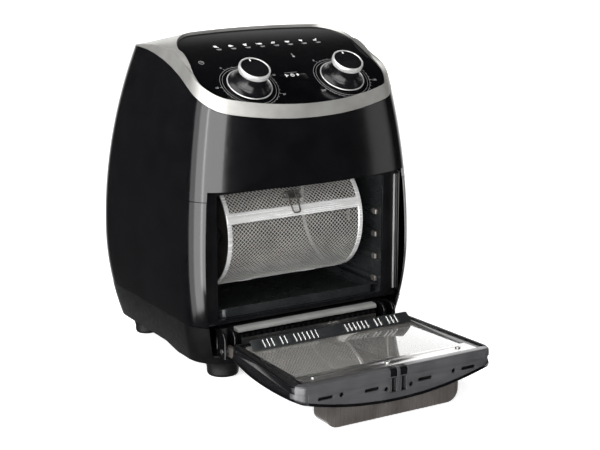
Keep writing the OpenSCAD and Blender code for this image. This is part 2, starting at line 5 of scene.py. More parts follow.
import bmesh
import bpy
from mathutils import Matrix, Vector


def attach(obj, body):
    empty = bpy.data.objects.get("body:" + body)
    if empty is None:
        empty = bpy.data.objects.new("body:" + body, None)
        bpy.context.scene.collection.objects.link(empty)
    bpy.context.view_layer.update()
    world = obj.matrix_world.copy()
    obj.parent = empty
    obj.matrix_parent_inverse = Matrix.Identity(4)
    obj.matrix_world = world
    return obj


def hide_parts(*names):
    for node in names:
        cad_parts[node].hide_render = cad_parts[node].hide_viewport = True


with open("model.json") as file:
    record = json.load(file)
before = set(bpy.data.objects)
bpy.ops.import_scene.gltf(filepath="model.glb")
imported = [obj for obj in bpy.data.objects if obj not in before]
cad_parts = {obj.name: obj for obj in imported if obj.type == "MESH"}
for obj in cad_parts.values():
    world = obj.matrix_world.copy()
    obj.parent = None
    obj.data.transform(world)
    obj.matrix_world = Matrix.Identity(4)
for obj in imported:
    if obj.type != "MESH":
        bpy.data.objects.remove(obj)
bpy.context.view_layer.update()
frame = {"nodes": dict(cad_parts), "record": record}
MM = 0.001

# ---------------------------------------------------------------- shared dimensions, in mm
# They repeat part.scad's, in body coordinates, whose y is the frame's less BODY_Y.
BODY_W, BODY_D, BELLY_Z = 320, 303.5, 145
FRONT_R, REAR_R, WALL = 44, 52, 2.5
BASE_TOP, SEAM_Z = 75, 230
TRIM_Z, TRIM_H, TRIM_FRONT = 317, 17, 157
PANEL_Z, PANEL_T, PANEL_FRONT, PANEL_REAR = 331, 3, 152, 3
FASCIA_Z, MOUTH_X, SKIRT_Z = 242, 138.5, 25
CAVITY_W, CAVITY_Z, CAVITY_TOP, CAVITY_Y0, CAVITY_Y1 = 238, 78, 296, -122, 80
AXIS_Y, AXIS_Z = -142, 45
DOOR_TOP_W, DOOR_LOW_W, DOOR_Z0, DOOR_Z1, DOOR_IN = 136, 124, 71.5, 240.5, -127
GLASS_W, GLASS_Z0, GLASS_Z1 = 112, 92, 222
HANDLE_W, HANDLE_Z0, HANDLE_Z1 = 182, 203, 230
HANDLE_Y = AXIS_Y - AXIS_Z + 2
BASKET_R, BASKET_L, BASKET_Y, BASKET_Z = 72, 194, -40, 173
LID_A0, LID_A1 = 160, 255
RUNNER_ZS, DOOR_R = (94, 123.5, 153, 182.5), 16
SIDES = ((-1, "left"), (1, "right"))
KNOB_X, KNOB_Y, KNOB_R = 65, -110.5, 28.3
FRONT_BOW, REAR_BOW = radians(15.5), radians(6)
SIDE_LEAN, FRONT_LEAN, REAR_LEAN = (5.1, 12.0), (3.2, 11.0), (7.0, 9.8)
VENT_OUT = 1.8
REAR_Y = BODY_D / 2 + (BODY_W / 2 - REAR_R) * tan(REAR_BOW / 2)
BODY_Y = (-(AXIS_Y - (DOOR_Z1 - AXIS_Z)) - REAR_Y - VENT_OUT) / 2
KNOB_TILT = atan(0.73 - 0.0028 * (KNOB_Y + PANEL_FRONT))


def lean(z, k):
    return k[0 if z > BELLY_Z else 1] * ((z - BELLY_Z) / 100) ** 2


def bow_pt(c, r, y, bow, a):
    big = r + c / sin(bow)
    return big * sin(a), y + c / tan(bow) - big * cos(a)


def outline(w, f, r, rf, rr, steps=(14, 14, 6, 14, 10)):
    """Loop of the body's kind seen from above: bowed front, round corners, bowed rear."""
    cf, cr = w - rf, w - rr
    right = pi / 2
    half = [bow_pt(cf, rf, rf - f, FRONT_BOW, FRONT_BOW * i / steps[0]) for i in range(steps[0])]
    for i in range(steps[1]):
        a = FRONT_BOW + (right - FRONT_BOW) * i / steps[1]
        half.append((cf + rf * sin(a), rf - f - rf * cos(a)))
    half += [(w, rf - f + (r - rr - rf + f) * i / steps[2]) for i in range(steps[2])]
    for i in range(steps[3]):
        a = (right - REAR_BOW) * i / steps[3]
        half.append((cr + rr * cos(a), r - rr + rr * sin(a)))
    for i in range(steps[4] + 1):
        x, y = bow_pt(cr, rr, rr - r, REAR_BOW, REAR_BOW * (1 - i / steps[4]))
        half.append((x, -y))
    return half + [(-x, y) for x, y in half[-2:0:-1]]


def body_outline(z, t=0.0):
    return outline(BODY_W / 2 - lean(z, SIDE_LEAN) - t, BODY_D / 2 - lean(z, FRONT_LEAN) - t,
                   BODY_D / 2 - lean(z, REAR_LEAN) - t, FRONT_R - t, REAR_R - t)


def face_y(x, z, t=0.0):
    """The y of the bowed front face at x and z, moved in by t."""
    w, f, rf = BODY_W / 2 - lean(z, SIDE_LEAN) - t, BODY_D / 2 - lean(z, FRONT_LEAN) - t, FRONT_R - t
    c = w - rf
    big = rf + c / sin(FRONT_BOW)
    if abs(x) > big * sin(FRONT_BOW):
        return rf - f - sqrt(max(0, rf * rf - (abs(x) - c) ** 2))
    return rf - f + c / tan(FRONT_BOW) - sqrt(big * big - x * x)


def trim_low(y):
    rise = 79 * (1 - exp(-((max(0, y + TRIM_FRONT) / 86) ** 1.12)))
    return TRIM_Z + rise - 8 * (max(0, y - 40) / 75) ** 2


def panel_h(y):
    d = max(0, y + PANEL_FRONT)
    return PANEL_Z + 0.73 * d - 0.0014 * d * d


def panel_outline(t=0.0):
    return [(x * (1 - 0.0006 * (y + 140)), y)
            for x, y in outline(131 - t, 140 - t, -PANEL_REAR - t, 46 - t, 42 - t)]


# ---------------------------------------------------------------- mesh helpers
def place(p):
    """Body coordinates in mm to the frame in metres."""
    return Vector((p[0] * MM, (p[1] + BODY_Y) * MM, p[2] * MM))


def door_place(p):
    """A point of the closed door, in mm, to the open door in the frame."""
    return place((p[0], AXIS_Y - (p[2] - AXIS_Z), AXIS_Z + (p[1] - AXIS_Y)))


def knob_place(side):
    c, s = cos(KNOB_TILT), sin(KNOB_TILT)
    return lambda p: place((side * KNOB_X + p[0], KNOB_Y + p[1] * c - p[2] * s,
                            panel_h(KNOB_Y) + p[1] * s + p[2] * c))


def basket_place(p):
    return place((p[0], BASKET_Y + p[1], BASKET_Z + p[2]))


def mesh_piece(name, points, faces, body, material, nodes=(), where=place, slot=None,
               bevel=0.0, segments=2, sharp=32, thick=0.0):
    """A mesh piece that rides on a body, with round edges, in place of CAD nodes."""
    mesh = bpy.data.meshes.new(name)
    mesh.from_pydata([where(p) for p in points], [], faces)
    mesh.validate()
    bm = bmesh.new()
    bm.from_mesh(mesh)
    bmesh.ops.remove_doubles(bm, verts=bm.verts, dist=1e-7)
    bmesh.ops.recalc_face_normals(bm, faces=bm.faces)
    bm.to_mesh(mesh)
    bm.free()
    mesh.shade_smooth()
    piece = bpy.data.objects.new(name, mesh)
    bpy.context.scene.collection.objects.link(piece)
    mesh.materials.append(material)
    if thick:
        shell = piece.modifiers.new("thickness", "SOLIDIFY")
        shell.thickness = thick * MM
        shell.offset = -1
    if bevel:
        edge = piece.modifiers.new("edges", "BEVEL")
        edge.width = bevel * MM
        edge.segments = segments
        edge.limit_method = "ANGLE"
        edge.angle_limit = radians(sharp)
        edge.harden_normals = True
        edge.use_clamp_overlap = True
    else:
        mesh.set_sharp_from_angle(angle=radians(sharp))
    finish_piece(piece, body, nodes, slot)
    return piece


def door_piece(name, part, material, nodes=(), **how):
    """A piece of the door, given in the closed door's coordinates."""
    return mesh_piece(name, *part, "door", material, nodes, where=door_place, **how)


def finish_piece(piece, body, nodes=(), slot=None):
    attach(piece, body)
    if nodes:
        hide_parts(*nodes)
        node_slot = [s["material_slot"] for s in frame["record"]["subparts"] if s["node"] == nodes[0]]
        slot = slot or (node_slot[0] if node_slot else None)


def loft(loops, wrapped=False):
    """Points and faces that join loops of equal length; wrapped, or with flat ends."""
    n, m = len(loops[0]), len(loops)
    points = [p for loop in loops for p in loop]
    faces = []
    for i in range(m if wrapped else m - 1):
        for j in range(n):
            k = (i + 1) % m
            faces.append((i * n + j, i * n + (j + 1) % n, k * n + (j + 1) % n, k * n + j))
    if not wrapped:
        faces.append(tuple(range(n - 1, -1, -1)))
        faces.append(tuple(range((m - 1) * n, m * n)))
    return points, faces


def around(n):
    """The angles of n equal steps round a circle."""
    return [2 * pi * i / n for i in range(n)]


def lathe(profile, n=96):
    """Points and faces of a closed profile of (r, z) turned about Z; r 0 stays on the axis."""
    loops = [[(r * cos(a), r * sin(a), z) for r, z in profile] for a in around(n)]
    return loft(loops, True)


def arc(cx, cy, r, a0, a1, n=6):
    """Points of an arc in degrees."""
    return [(cx + r * cos(radians(a0 + (a1 - a0) * i / n)),
             cy + r * sin(radians(a0 + (a1 - a0) * i / n))) for i in range(n + 1)]


def round_rect(x0, y0, x1, y1, r, n=5):
    return (arc(x1 - r, y0 + r, r, -90, 0, n) + arc(x1 - r, y1 - r, r, 0, 90, n)
            + arc(x0 + r, y1 - r, r, 90, 180, n) + arc(x0 + r, y0 + r, r, 180, 270, n))


def circle(cx, cy, r, n=32):
    return [(cx + r * cos(a), cy + r * sin(a)) for a in around(n)]


def curve_mesh(curve, lift):
    """Points and faces of a curve's solid, raised by lift; the curve is used up."""
    holder = bpy.data.objects.new(curve.name, curve)
    bpy.context.scene.collection.objects.link(holder)
    bpy.context.view_layer.update()
    made = bpy.data.meshes.new_from_object(holder.evaluated_get(bpy.context.evaluated_depsgraph_get()))
    points = [(v.co.x, v.co.y, v.co.z + lift) for v in made.vertices]
    faces = [tuple(p.vertices) for p in made.polygons]
    bpy.data.objects.remove(holder)
    bpy.data.meshes.remove(made)
    bpy.data.curves.remove(curve)
    return points, faces


def plate_mesh(loops, depth, edge=0.0):
    """Points and faces of a flat plate from closed outlines, holes among them, lying on z 0 to depth."""
    curve = bpy.data.curves.new("plate", "CURVE")
    curve.dimensions = "2D"
    curve.fill_mode = "BOTH"
    curve.extrude = depth / 2 - edge
    curve.bevel_depth = edge
    curve.bevel_resolution = 1
    curve.offset = -edge
    for loop in loops:
        spline = curve.splines.new("POLY")
        spline.points.add(len(loop) - 1)
        for q, (x, y) in zip(spline.points, loop):
            q.co = (x, y, 0, 1)
        spline.use_cyclic_u = True
    return curve_mesh(curve, depth / 2)


def join(*parts):
    """Several (points, faces) as one."""
    points, faces = [], []
    for p, f in parts:
        base = len(points)
        points += list(p)
        faces += [tuple(i + base for i in face) for face in f]
    return points, faces


def moved(part, rule):
    return [rule(p) for p in part[0]], part[1]


def box(x0, y0, z0, x1, y1, z1):
    points = [(x, y, z) for x in (x0, x1) for y in (y0, y1) for z in (z0, z1)]
    return points, [(0, 1, 3, 2), (4, 6, 7, 5), (0, 4, 5, 1), (2, 3, 7, 6), (0, 2, 6, 4), (1, 5, 7, 3)]


def tube(path, r, sides=10, closed=False):
    """Points and faces of a round wire along a list of points."""
    pts = [Vector(p) for p in path]
    n = len(pts)
    loops, up = [], None
    for i, p in enumerate(pts):
        ahead = pts[(i + 1) % n] if closed or i < n - 1 else p
        behind = pts[i - 1] if closed or i else p
        t = (ahead - behind).normalized()
        if up is None:
            up = t.orthogonal().normalized()
        up = (up - t * up.dot(t)).normalized()
        side = t.cross(up)
        loops.append([tuple(p + r * (cos(a) * up + sin(a) * side))
                      for a in around(sides)])
    return loft(loops, closed)


# ---------------------------------------------------------------- materials
def map_range(tree, source, start, stop, low, high):
    """A number that runs from low to high as source goes from start to stop."""
    node = tree.nodes.new("ShaderNodeMapRange")
    for name, value in (("From Min", start), ("From Max", stop), ("To Min", low), ("To Max", high)):
        node.inputs[name].default_value = value
    tree.links.new(source, node.inputs["Value"])
    return node.outputs["Result"]


class Nodes:
    """A material's node tree, built with short calls."""

    def __init__(self, name):
        self.material = bpy.data.materials.new(name)
        self.material.use_nodes = True
        self.tree = self.material.node_tree
        self.shader = self.tree.nodes["Principled BSDF"]
        self.coords = self.tree.nodes.new("ShaderNodeTexCoord").outputs["Object"]

    def link(self, a, b):
        self.tree.links.new(a, b)

    def stretched(self, scale):
        mapping = self.tree.nodes.new("ShaderNodeMapping")
        mapping.inputs["Scale"].default_value = scale
        self.link(self.coords, mapping.inputs["Vector"])
        return mapping.outputs["Vector"]

    def noise(self, scale, detail=3.0, stretch=None, rough=0.55):
        node = self.tree.nodes.new("ShaderNodeTexNoise")
        node.inputs["Scale"].default_value = scale
        node.inputs["Detail"].default_value = detail
        node.inputs["Roughness"].default_value = rough
        self.link(self.stretched(stretch) if stretch else self.coords, node.inputs["Vector"])
        return node.outputs["Fac"]

    def ramp(self, source, low, high):
        """Two colours mixed by a texture."""
        node = self.tree.nodes.new("ShaderNodeValToRGB")
        node.color_ramp.elements[0].position = 0.35
        node.color_ramp.elements[1].position = 0.65
        node.color_ramp.elements[0].color = (*low, 1)
        node.color_ramp.elements[1].color = (*high, 1)
        self.link(source, node.inputs["Fac"])
        return node.outputs["Color"]

    def spread(self, source, low, high):
        """A texture's value as a number from low to high."""
        return map_range(self.tree, source, 0.3, 0.7, low, high)

    def bump(self, source, strength, distance):
        node = self.tree.nodes.new("ShaderNodeBump")
        node.inputs["Strength"].default_value = strength
        node.inputs["Distance"].default_value = distance
        self.link(source, node.inputs["Height"])
        self.link(node.outputs["Normal"], self.shader.inputs["Normal"])

    def set(self, **values):
        for name, value in values.items():
            socket = self.shader.inputs[name.replace("_", " ")]
            socket.default_value = (*value, 1) if isinstance(value, tuple) and len(value) == 3 else value


def plastic(name, dark, light, rough=(0.3, 0.4), grain=900, bumps=0.1, level=0.5):
    """Moulded plastic: a faint mottle, uneven polish and a fine skin."""
    m = Nodes(name)
    m.link(m.ramp(m.noise(35, 4), dark, light), m.shader.inputs["Base Color"])
    m.link(m.spread(m.noise(140, 4), *rough), m.shader.inputs["Roughness"])
    m.bump(m.noise(grain, 2), bumps, 0.00012)
    m.set(Specular_IOR_Level=level)
    return m.material


def metal(name, dark, light, rough, grain, bumps=0.06, metallic=1.0):
    """Metal with grain drawn out along one direction, uneven polish and soft staining."""
    m = Nodes(name)
    lines = m.noise(1.0, 5, grain, 0.7)
    m.link(m.ramp(m.noise(30, 5), dark, light), m.shader.inputs["Base Color"])
    m.link(m.spread(lines, *rough), m.shader.inputs["Roughness"])
    m.bump(lines, bumps, 0.00008)
    m.set(Metallic=metallic)
    return m.material


def glass(name, colour, rough=0.02, weight=1.0, index=1.5):
    """Toughened glass with a faint waviness and light smears."""
    m = Nodes(name)
    m.link(m.spread(m.noise(22, 5), rough, rough + 0.05), m.shader.inputs["Roughness"])
    m.bump(m.noise(9, 2), 0.04, 0.0006)
    m.set(Base_Color=colour, Transmission_Weight=weight, IOR=index)
    return m.material


GLOSS = plastic("gloss_black", (0.0012, 0.0012, 0.0015), (0.0022, 0.0022, 0.0026), (0.12, 0.16), 6, 0.02,
                0.36)
PANEL = plastic("panel_gloss", (0.0012, 0.0012, 0.0016), (0.002, 0.002, 0.0024), (0.1, 0.14), 5, 0.015,
                0.12)
MATTE = plastic("matte_black", (0.0016, 0.0016, 0.0018), (0.003, 0.003, 0.0033), (0.34, 0.46), 1600, 0.3,
                0.12)
KNOB = plastic("knob_satin", (0.0022, 0.0022, 0.0026), (0.004, 0.004, 0.0046), (0.18, 0.26), 1200, 0.08,
               0.26)
SILVER = metal("trim_silver", (0.31, 0.305, 0.29), (0.38, 0.375, 0.36), (0.42, 0.52), (30, 30, 900), 0.05,
               0.8)
CHROME = metal("ring_chrome", (0.50, 0.50, 0.49), (0.6, 0.6, 0.59), (0.26, 0.36), (14, 14, 700), 0.05,
               0.6)
CAVITY = metal("cavity_coating", (0.020, 0.022, 0.023), (0.034, 0.037, 0.038), (0.24, 0.36), (50, 50,
               500), 0.08, 0.6)
STEEL = metal("brushed_steel", (0.42, 0.41, 0.40), (0.58, 0.57, 0.56), (0.22, 0.36), (8, 1400, 1400), 0.1)
SILL = metal("sill_steel", (0.24, 0.24, 0.232), (0.31, 0.31, 0.30), (0.3, 0.4), (8, 900, 900), 0.06, 0.45)
MESH = metal("perforated_steel", (0.34, 0.335, 0.32), (0.46, 0.455, 0.43), (0.32, 0.42), (200, 200, 200),
             0.05, 0.55)
# Near-black steel as painted shade: it stands for the shade inside the basket, on the inner side of the mesh
# and on the end caps.
SHADE_STEEL = metal("heat_darkened_steel", (0.016, 0.015, 0.014), (0.035, 0.033, 0.03), (0.36, 0.5), (120,
                   120, 120), 0.08, 0.6)
RAIL = metal("polished_rail", (0.78, 0.78, 0.77), (0.88, 0.88, 0.87), (0.2, 0.3), (8, 900, 900), 0.05,
             0.6)
ZINC = metal("zinc_plate", (0.42, 0.42, 0.41), (0.55, 0.55, 0.53), (0.28, 0.42), (160, 160, 160))
FRAME = plastic("frame_satin", (0.030, 0.030, 0.032), (0.042, 0.042, 0.044), (0.28, 0.36), 1100, 0.12,
                0.5)
RUBBER = plastic("silicone", (0.0025, 0.0025, 0.0025), (0.005, 0.005, 0.005), (0.45, 0.6), 500, 0.2, 0.2)
SMOKED = metal("smoked_chrome", (0.058, 0.052, 0.048), (0.088, 0.08, 0.074), (0.24, 0.34), (500, 14, 14),
               0.05, 0.35)
PRINT = plastic("white_print", (0.62, 0.62, 0.62), (0.72, 0.72, 0.72), (0.4, 0.5), 800, 0.05)
PRINT_DIM = plastic("grey_print", (0.2, 0.2, 0.2), (0.26, 0.26, 0.26), (0.4, 0.5), 800, 0.05)
GLASS = glass("door_glass", (0.8, 0.78, 0.74), 0.02, 0.9, 2.4)
TINT = glass("smoked_glass", (0.08, 0.085, 0.09), 0.03, 0.8)


# ---------------------------------------------------------------- housings
_rings = {}


def body_pt(k, z, t=0.0):
    """The body's surface at outline index k, which may lie between two points, and height z."""
    key = (round(z, 4), t)
    if key not in _rings:
        _rings[key] = body_outline(z, t)
    ring = _rings[key]
    i = int(k)
    (x0, y0), (x1, y1) = ring[i % len(ring)], ring[(i + 1) % len(ring)]
    return x0 + (x1 - x0) * (k - i), y0 + (y1 - y0) * (k - i), z


RING_N = len(body_outline(BELLY_Z))
_front = [p[0] for p in body_outline(FASCIA_Z)]
_i = next(i for i in range(RING_N // 2) if _front[i + 1] > MOUTH_X)
MOUTH_K = _i + (MOUTH_X - _front[_i]) / (_front[_i + 1] - _front[_i])
STEP_K = 0.012


def columns():
    """Outline indexes right round the body, with a close pair at each side of the mouth."""
    pair = [MOUTH_K - STEP_K, MOUTH_K + STEP_K]
    far = [RING_N - MOUTH_K - STEP_K, RING_N - MOUTH_K + STEP_K]
    return sorted([k for k in range(RING_N) if abs(k - MOUTH_K) > 0.1 and abs(k - far[0]) > 0.1] + pair + far)


def over_mouth(k):
    return k < MOUTH_K or k > RING_N - MOUTH_K


def shell_loop(k, z0, z1, n=14, t=WALL):
    zs = [z0 + (z1 - z0) * j / n for j in range(n + 1)]
    return [body_pt(k, z) for z in zs] + [body_pt(k, z, t) for z in reversed(zs)]


def housings():
    tops = body_outline(TRIM_Z + 40)
    loops = []
    for k in columns():
        low = FASCIA_Z if over_mouth(k) else SEAM_Z + 0.4
        y = tops[round(k) % RING_N][1]
        loops.append(shell_loop(k, low, trim_low(y) - 0.3))
    mesh_piece("upper_housing_shell", *loft(loops, True), "oven", GLOSS, ["upper_housing"], bevel=0.7,
               segments=3, sharp=50)
    ks = [MOUTH_K + STEP_K] + [k for k in range(RING_N) if MOUTH_K + 0.1 < k < RING_N - MOUTH_K - 0.1]
    ks.append(RING_N - MOUTH_K - STEP_K)
    mesh_piece("lower_housing_shell", *loft([shell_loop(k, BASE_TOP, SEAM_Z) for k in ks]), "oven", GLOSS,
               ["lower_housing"], bevel=0.7, segments=3, sharp=50)


def base():
    """The matt base: a skirt that steps up behind the front feet, and a slotted floor under a baffle."""
    rim = body_outline(SKIRT_Z)
    loops = []
    for k in columns():
        y = rim[round(k) % RING_N][1]
        rise = 7 / (1 + exp(-(y + 45) / 2.5))
        loops.append(shell_loop(k, SKIRT_Z + rise, 34.5 if over_mouth(k) else BASE_TOP - 0.4, 6))
    mesh_piece("base_skirt", *loft(loops, True), "oven", MATTE, ["base_pan"], bevel=0.6, segments=3,
               sharp=50)
    floor = body_outline(33, 1.6)
    slots = [round_rect(x - 3, y - 30, x + 3, y + 30, 2.9) for x in range(-60, 61, 15) for y in (-50, 50)]
    bores = [circle(x, y, 5.5, 24) for x, y in ((-98, -96), (98, -96), (-107, 104), (107, 104))]
    mesh_piece("base_floor", *moved(plate_mesh([floor] + slots + bores, 2.4, 0.4), lambda p: (p[0], p[1],
               33.1 + p[2])), "oven", MATTE, slot="matte_black")
    mesh_piece("base_baffle", *box(-72, -86, 36.8, 72, 86, 37.6), "oven", MATTE, slot="matte_black",
               bevel=0.2)


# ---------------------------------------------------------------- trim and control panel
def rim_lift(y):
    return 0.8 + 2.6 * min(1, max(0, (y + 110) / 80))


def trim():
    """The silver ring: a band that follows the body, then a soft shoulder up to the panel's rim."""
    out = body_outline(TRIM_Z + 40)
    inner = panel_outline(-0.3)
    loops = []
    for k in range(RING_N):
        y = out[k][1]
        z0 = trim_low(y)
        band = TRIM_H * min(1, max(0.09, (95 - y) / 140))
        low, mid = body_pt(k, z0), body_pt(k, z0 + band, 0.6)
        back, (qx, qy) = body_pt(k, z0, WALL), inner[k]
        lip = max(panel_h(qy) + rim_lift(qy), z0 + 6)
        top = [Vector((mid[0], mid[1], z0 + band)), Vector((qx, qy, lip))]
        up = [tuple(Vector(low).lerp(top[0], s)) for s in (0, 0.12, 0.5, 0.9)]
        across = []
        for s in (0.04, 0.12, 0.25, 0.4, 0.55, 0.7, 0.85, 0.95):
            p = top[0].lerp(top[1], s)
            across.append((p.x, p.y, p.z + 0.5 * sin(pi * s)))
        under = [(qx, qy, lip), (qx, qy, panel_h(qy) - PANEL_T), (back[0], back[1], z0)]
        loops.append(up + across + under)
    mesh_piece("trim_ring", *loft(loops, True), "oven", SILVER, ["bezel_ring"], bevel=0.7, segments=3,
               sharp=46)


def panel():
    rim = panel_outline(0.2)
    middle = -75
    rows = [1 - i / 16 for i in range(16)] + [0.012]

    def ring(s, dz):
        return [(x * s, middle + (y - middle) * s, panel_h(middle + (y - middle) * s) + dz) for x, y in rim]

    mesh_piece("control_panel_plate", *loft([ring(s, -PANEL_T) for s in reversed(rows)]
               + [ring(s, 0) for s in rows]), "oven", PANEL, ["control_panel"], bevel=0.4, sharp=60)


def on_panel(x0, y0, lift=0.03):
    """Lays a flat shape on the panel, its own y running up the slope."""
    slope = atan(0.73 - 0.0028 * (y0 + PANEL_FRONT))
    c = cos(slope)
    return lambda p: place((x0 + p[0], y0 + p[1] * c, panel_h(y0 + p[1] * c) + lift + p[2]))


INK = 0.12


def print_piece(name, loops, where, material=None):
    points, faces = plate_mesh(loops, INK)
    return mesh_piece(name, points, faces, "oven", material or PRINT, where=where)


def blob(cx, cy, rx, ry, turn=0.0, n=20):
    c, s = cos(radians(turn)), sin(radians(turn))
    return [(cx + rx * cos(a) * c - ry * sin(a) * s, cy + rx * cos(a) * s + ry * sin(a) * c)
            for a in around(n)]


def bar(x0, y0, x1, y1, w):
    """A straight stroke from one point to another."""
    d = Vector((x1 - x0, y1 - y0)).normalized() * w / 2
    return [(x0 - d.y, y0 + d.x), (x0 + d.y, y0 - d.x), (x1 + d.y, y1 - d.x), (x1 - d.y, y1 + d.x)]


def food_icons():
    """Eight plain pictures of food, generic ones, each over two short dashes."""
    shapes = [
        [blob(-0.6, 0.6, 2.6, 2.0, -35), bar(1.2, -1, 3, -2.4, 0.9)],
        [blob(-0.4, 0, 2.5, 2.1, 10), blob(2.6, -0.6, 0.9, 0.8)],
        [[(-2.3, 2), (2.3, 2.4), (1.7, -2.2), (-1.7, -2.2)], blob(2.6, 2.2, 0.6, 0.6)],
        [blob(0.8, 0, 3.1, 1.7, -4), [(-1.8, 0.2), (-4.2, 1.8), (-3.7, -0.9)]],
        [bar(-3, -1.6, -1, 2.2, 1), bar(-1.4, -1.8, 0.9, 2.4, 1), bar(0.3, -1.6, 2.9, 2, 1)],
        [arc(0, 0.8, 3, 180, 360, 12), bar(-3.2, 1.5, 3.2, 1.5, 0.6)],
        [[(-2.8, 1.6), (2.8, 2.2), (0.2, -2.4)], blob(-1.4, 2.4, 0.7, 0.6)],
        [bar(-3, -1, 1.5, 0, 1.1), bar(-2.6, -2.5, 1.9, -1.6, 0.9), blob(2, 1.4, 1.5, 0.8, 40)],
    ]
    for i, loops in enumerate(shapes):
        x = -70.6 + 20.2 * i
        print_piece(f"food_icon_{i + 1}", loops, on_panel(x, -37))
        print_piece(f"food_caption_{i + 1}", [bar(-2.8, -6.2, 4.2, -6.2, 0.8), bar(-1.6, -7.8, 3.4, -7.8,
                    0.8)], on_panel(x + 0.6, -37), PRINT_DIM)


def numeral(name, text, where, size=4.2):
    """A dial numeral, as a thin solid on the panel."""
    curve = bpy.data.curves.new(name, "FONT")
    curve.body = text
    curve.size = size
    curve.align_x, curve.align_y = "CENTER", "CENTER"
    curve.extrude = INK / 2
    curve.resolution_u = 3
    mesh_piece(name, *curve_mesh(curve, INK / 2), "oven", PRINT_DIM, where=where)


def dial_print(side, name, labels, sweep):
    """Two thin circles, ticks and numerals round a knob; angles run clockwise from the top."""
    here = on_panel(side * KNOB_X, KNOB_Y)
    for label, r in (("inner", 33.2), ("outer", 36.4)):
        print_piece(f"{name}_scale_{label}", [circle(0, 0, r + 0.16, 96), circle(0, 0, r - 0.16, 96)],
                    here, PRINT_DIM)
    start, total = sweep
    count = (len(labels) - 1) * 5
    ticks = []
    for i in range(count + 1):
        a = radians(90 - start - total * i / count)
        long = 1.2 if i % 5 else 2.6
        ticks.append(bar(36.9 * cos(a), 36.9 * sin(a), (36.9 + long) * cos(a),
                         (36.9 + long) * sin(a), 0.32))
    print_piece(f"{name}_ticks", ticks, here, PRINT_DIM)
    for i, text in enumerate(labels):
        a = radians(90 - start - total * i / (len(labels) - 1))
        x, y = 43.2 * cos(a), 42.4 * sin(a)
        numeral(f"{name}_numeral_{i + 1}", text, on_panel(side * KNOB_X + x, KNOB_Y + y * cos(KNOB_TILT)))


def small_signs():
    """A clock and a thermometer beside the dials, and three signs in the window between them."""
    clock = [circle(0, 0, 3.4, 32), circle(0, 0, 2.9, 32), bar(0, 0, 0, 2, 0.5), bar(0, 0, 1.6, 0, 0.5)]
    print_piece("clock_sign", clock, on_panel(-KNOB_X - 41, KNOB_Y + 44), PRINT_DIM)
    print_piece("heat_sign", [bar(0, -1, 0, 4.5, 1.1), circle(0, -2.4, 1.7, 20)],
                on_panel(KNOB_X - 44, KNOB_Y + 44), PRINT_DIM)
    lens = [round_rect(-19, -6, 19, 6, 2)]
    mesh_piece("indicator_window", *plate_mesh(lens, 1.2, 0.2), "oven", PANEL, ["indicator_lens"],
               where=on_panel(0, -105, -1.1))
    print_piece("window_line", [bar(-9, 5, 9, 5, 0.3)], on_panel(0, -101, 0.14), PRINT_DIM)
    print_piece("fan_sign", [blob(-8 + 1.5 * cos(a), 1.5 * sin(a), 1.5, 0.8, degrees(a), 12)
                             for a in around(3)], on_panel(0, -101, 0.14))
    print_piece("turn_sign", [circle(0, 0, 2.6, 24), circle(0, 0, 1.9, 24), bar(0, -0.2, 0, 1.2, 0.5)],
                on_panel(0, -101, 0.14))
    print_piece("lamp_sign", [arc(7, 0, 2, -110, 110, 10)], on_panel(0, -101, 0.14))


def knob(name, side):
    here = knob_place(side)
    skirt = [(3.1, 1), (KNOB_R - 1.5, 1), (KNOB_R - 1.5, 1.9), (26, 2.3), (24.8, 3), (23, 4.4), (21.4, 6),
             (20.9, 6.9), (3.1, 6.9)]
    mesh_piece(f"{name}_skirt_cone", *lathe(skirt), name, KNOB, [f"{name}_skirt"], where=here, bevel=0.2,
               sharp=40)
    rim = [(KNOB_R - 1.45, 1.05), (KNOB_R, 1.05), (KNOB_R, 1.7), (KNOB_R - 0.4, 2.15), (KNOB_R - 1.1, 2.15),
           (KNOB_R - 1.45, 1.9)]
    mesh_piece(f"{name}_skirt_rim", *lathe(rim), name, CHROME, where=here, slot="knob_ring", bevel=0.12)
    body = [(3.1, 7), (20.7, 7), (19.4, 8.8), (18.3, 11.5), (17.6, 15), (17.2, 19), (17.2, 26), (16.8, 26.4),
            (14, 26.25), (8, 26.1), (0.01, 26.05), (0.01, 20), (3.1, 20)]
    mesh_piece(f"{name}_grip", *lathe(body), name, KNOB, [f"{name}_body"], where=here, bevel=0.25,
               sharp=40)
    ring = [(17.3, 19.6), (18.5, 19.6), (19.1, 20.2), (19.5, 21.4), (19.6, 23.4), (19.5, 25.4), (19.1, 26.5),
            (18.4, 26.95), (17.7, 26.95), (17.3, 26.6)]
    mesh_piece(f"{name}_collar", *lathe(ring), name, CHROME, [f"{name}_ring"], where=here, bevel=0.15)
    mark = round_rect(-0.8, 12.4, 0.8, 16.2, 0.7, 3)
    mesh_piece(f"{name}_mark", *plate_mesh([mark], 0.25), name, PRINT, slot="panel_black",
               where=lambda p: here((p[0], p[1], 26.3 + p[2])))


housings()
base()
trim()
panel()
food_icons()
small_signs()
dial_print(-1, "timer_dial", ["0", "10", "20", "30", "40", "50", "60"], (-30, 300))
dial_print(1, "heat_dial", ["0", "80", "100", "130", "160", "180", "200"], (-30, 270))
knob("timer_knob", -1)
knob("thermostat_knob", 1)


# ---------------------------------------------------------------- basket
def wrap(r, a0):
    """Bends a flat sheet round the basket's axis: x stays along it, y becomes an arc from a0 degrees."""
    start = radians(a0)
    return lambda p: basket_place((p[0], (r + p[2]) * cos(start + p[1] / r),
                                   (r + p[2]) * sin(start + p[1] / r)))


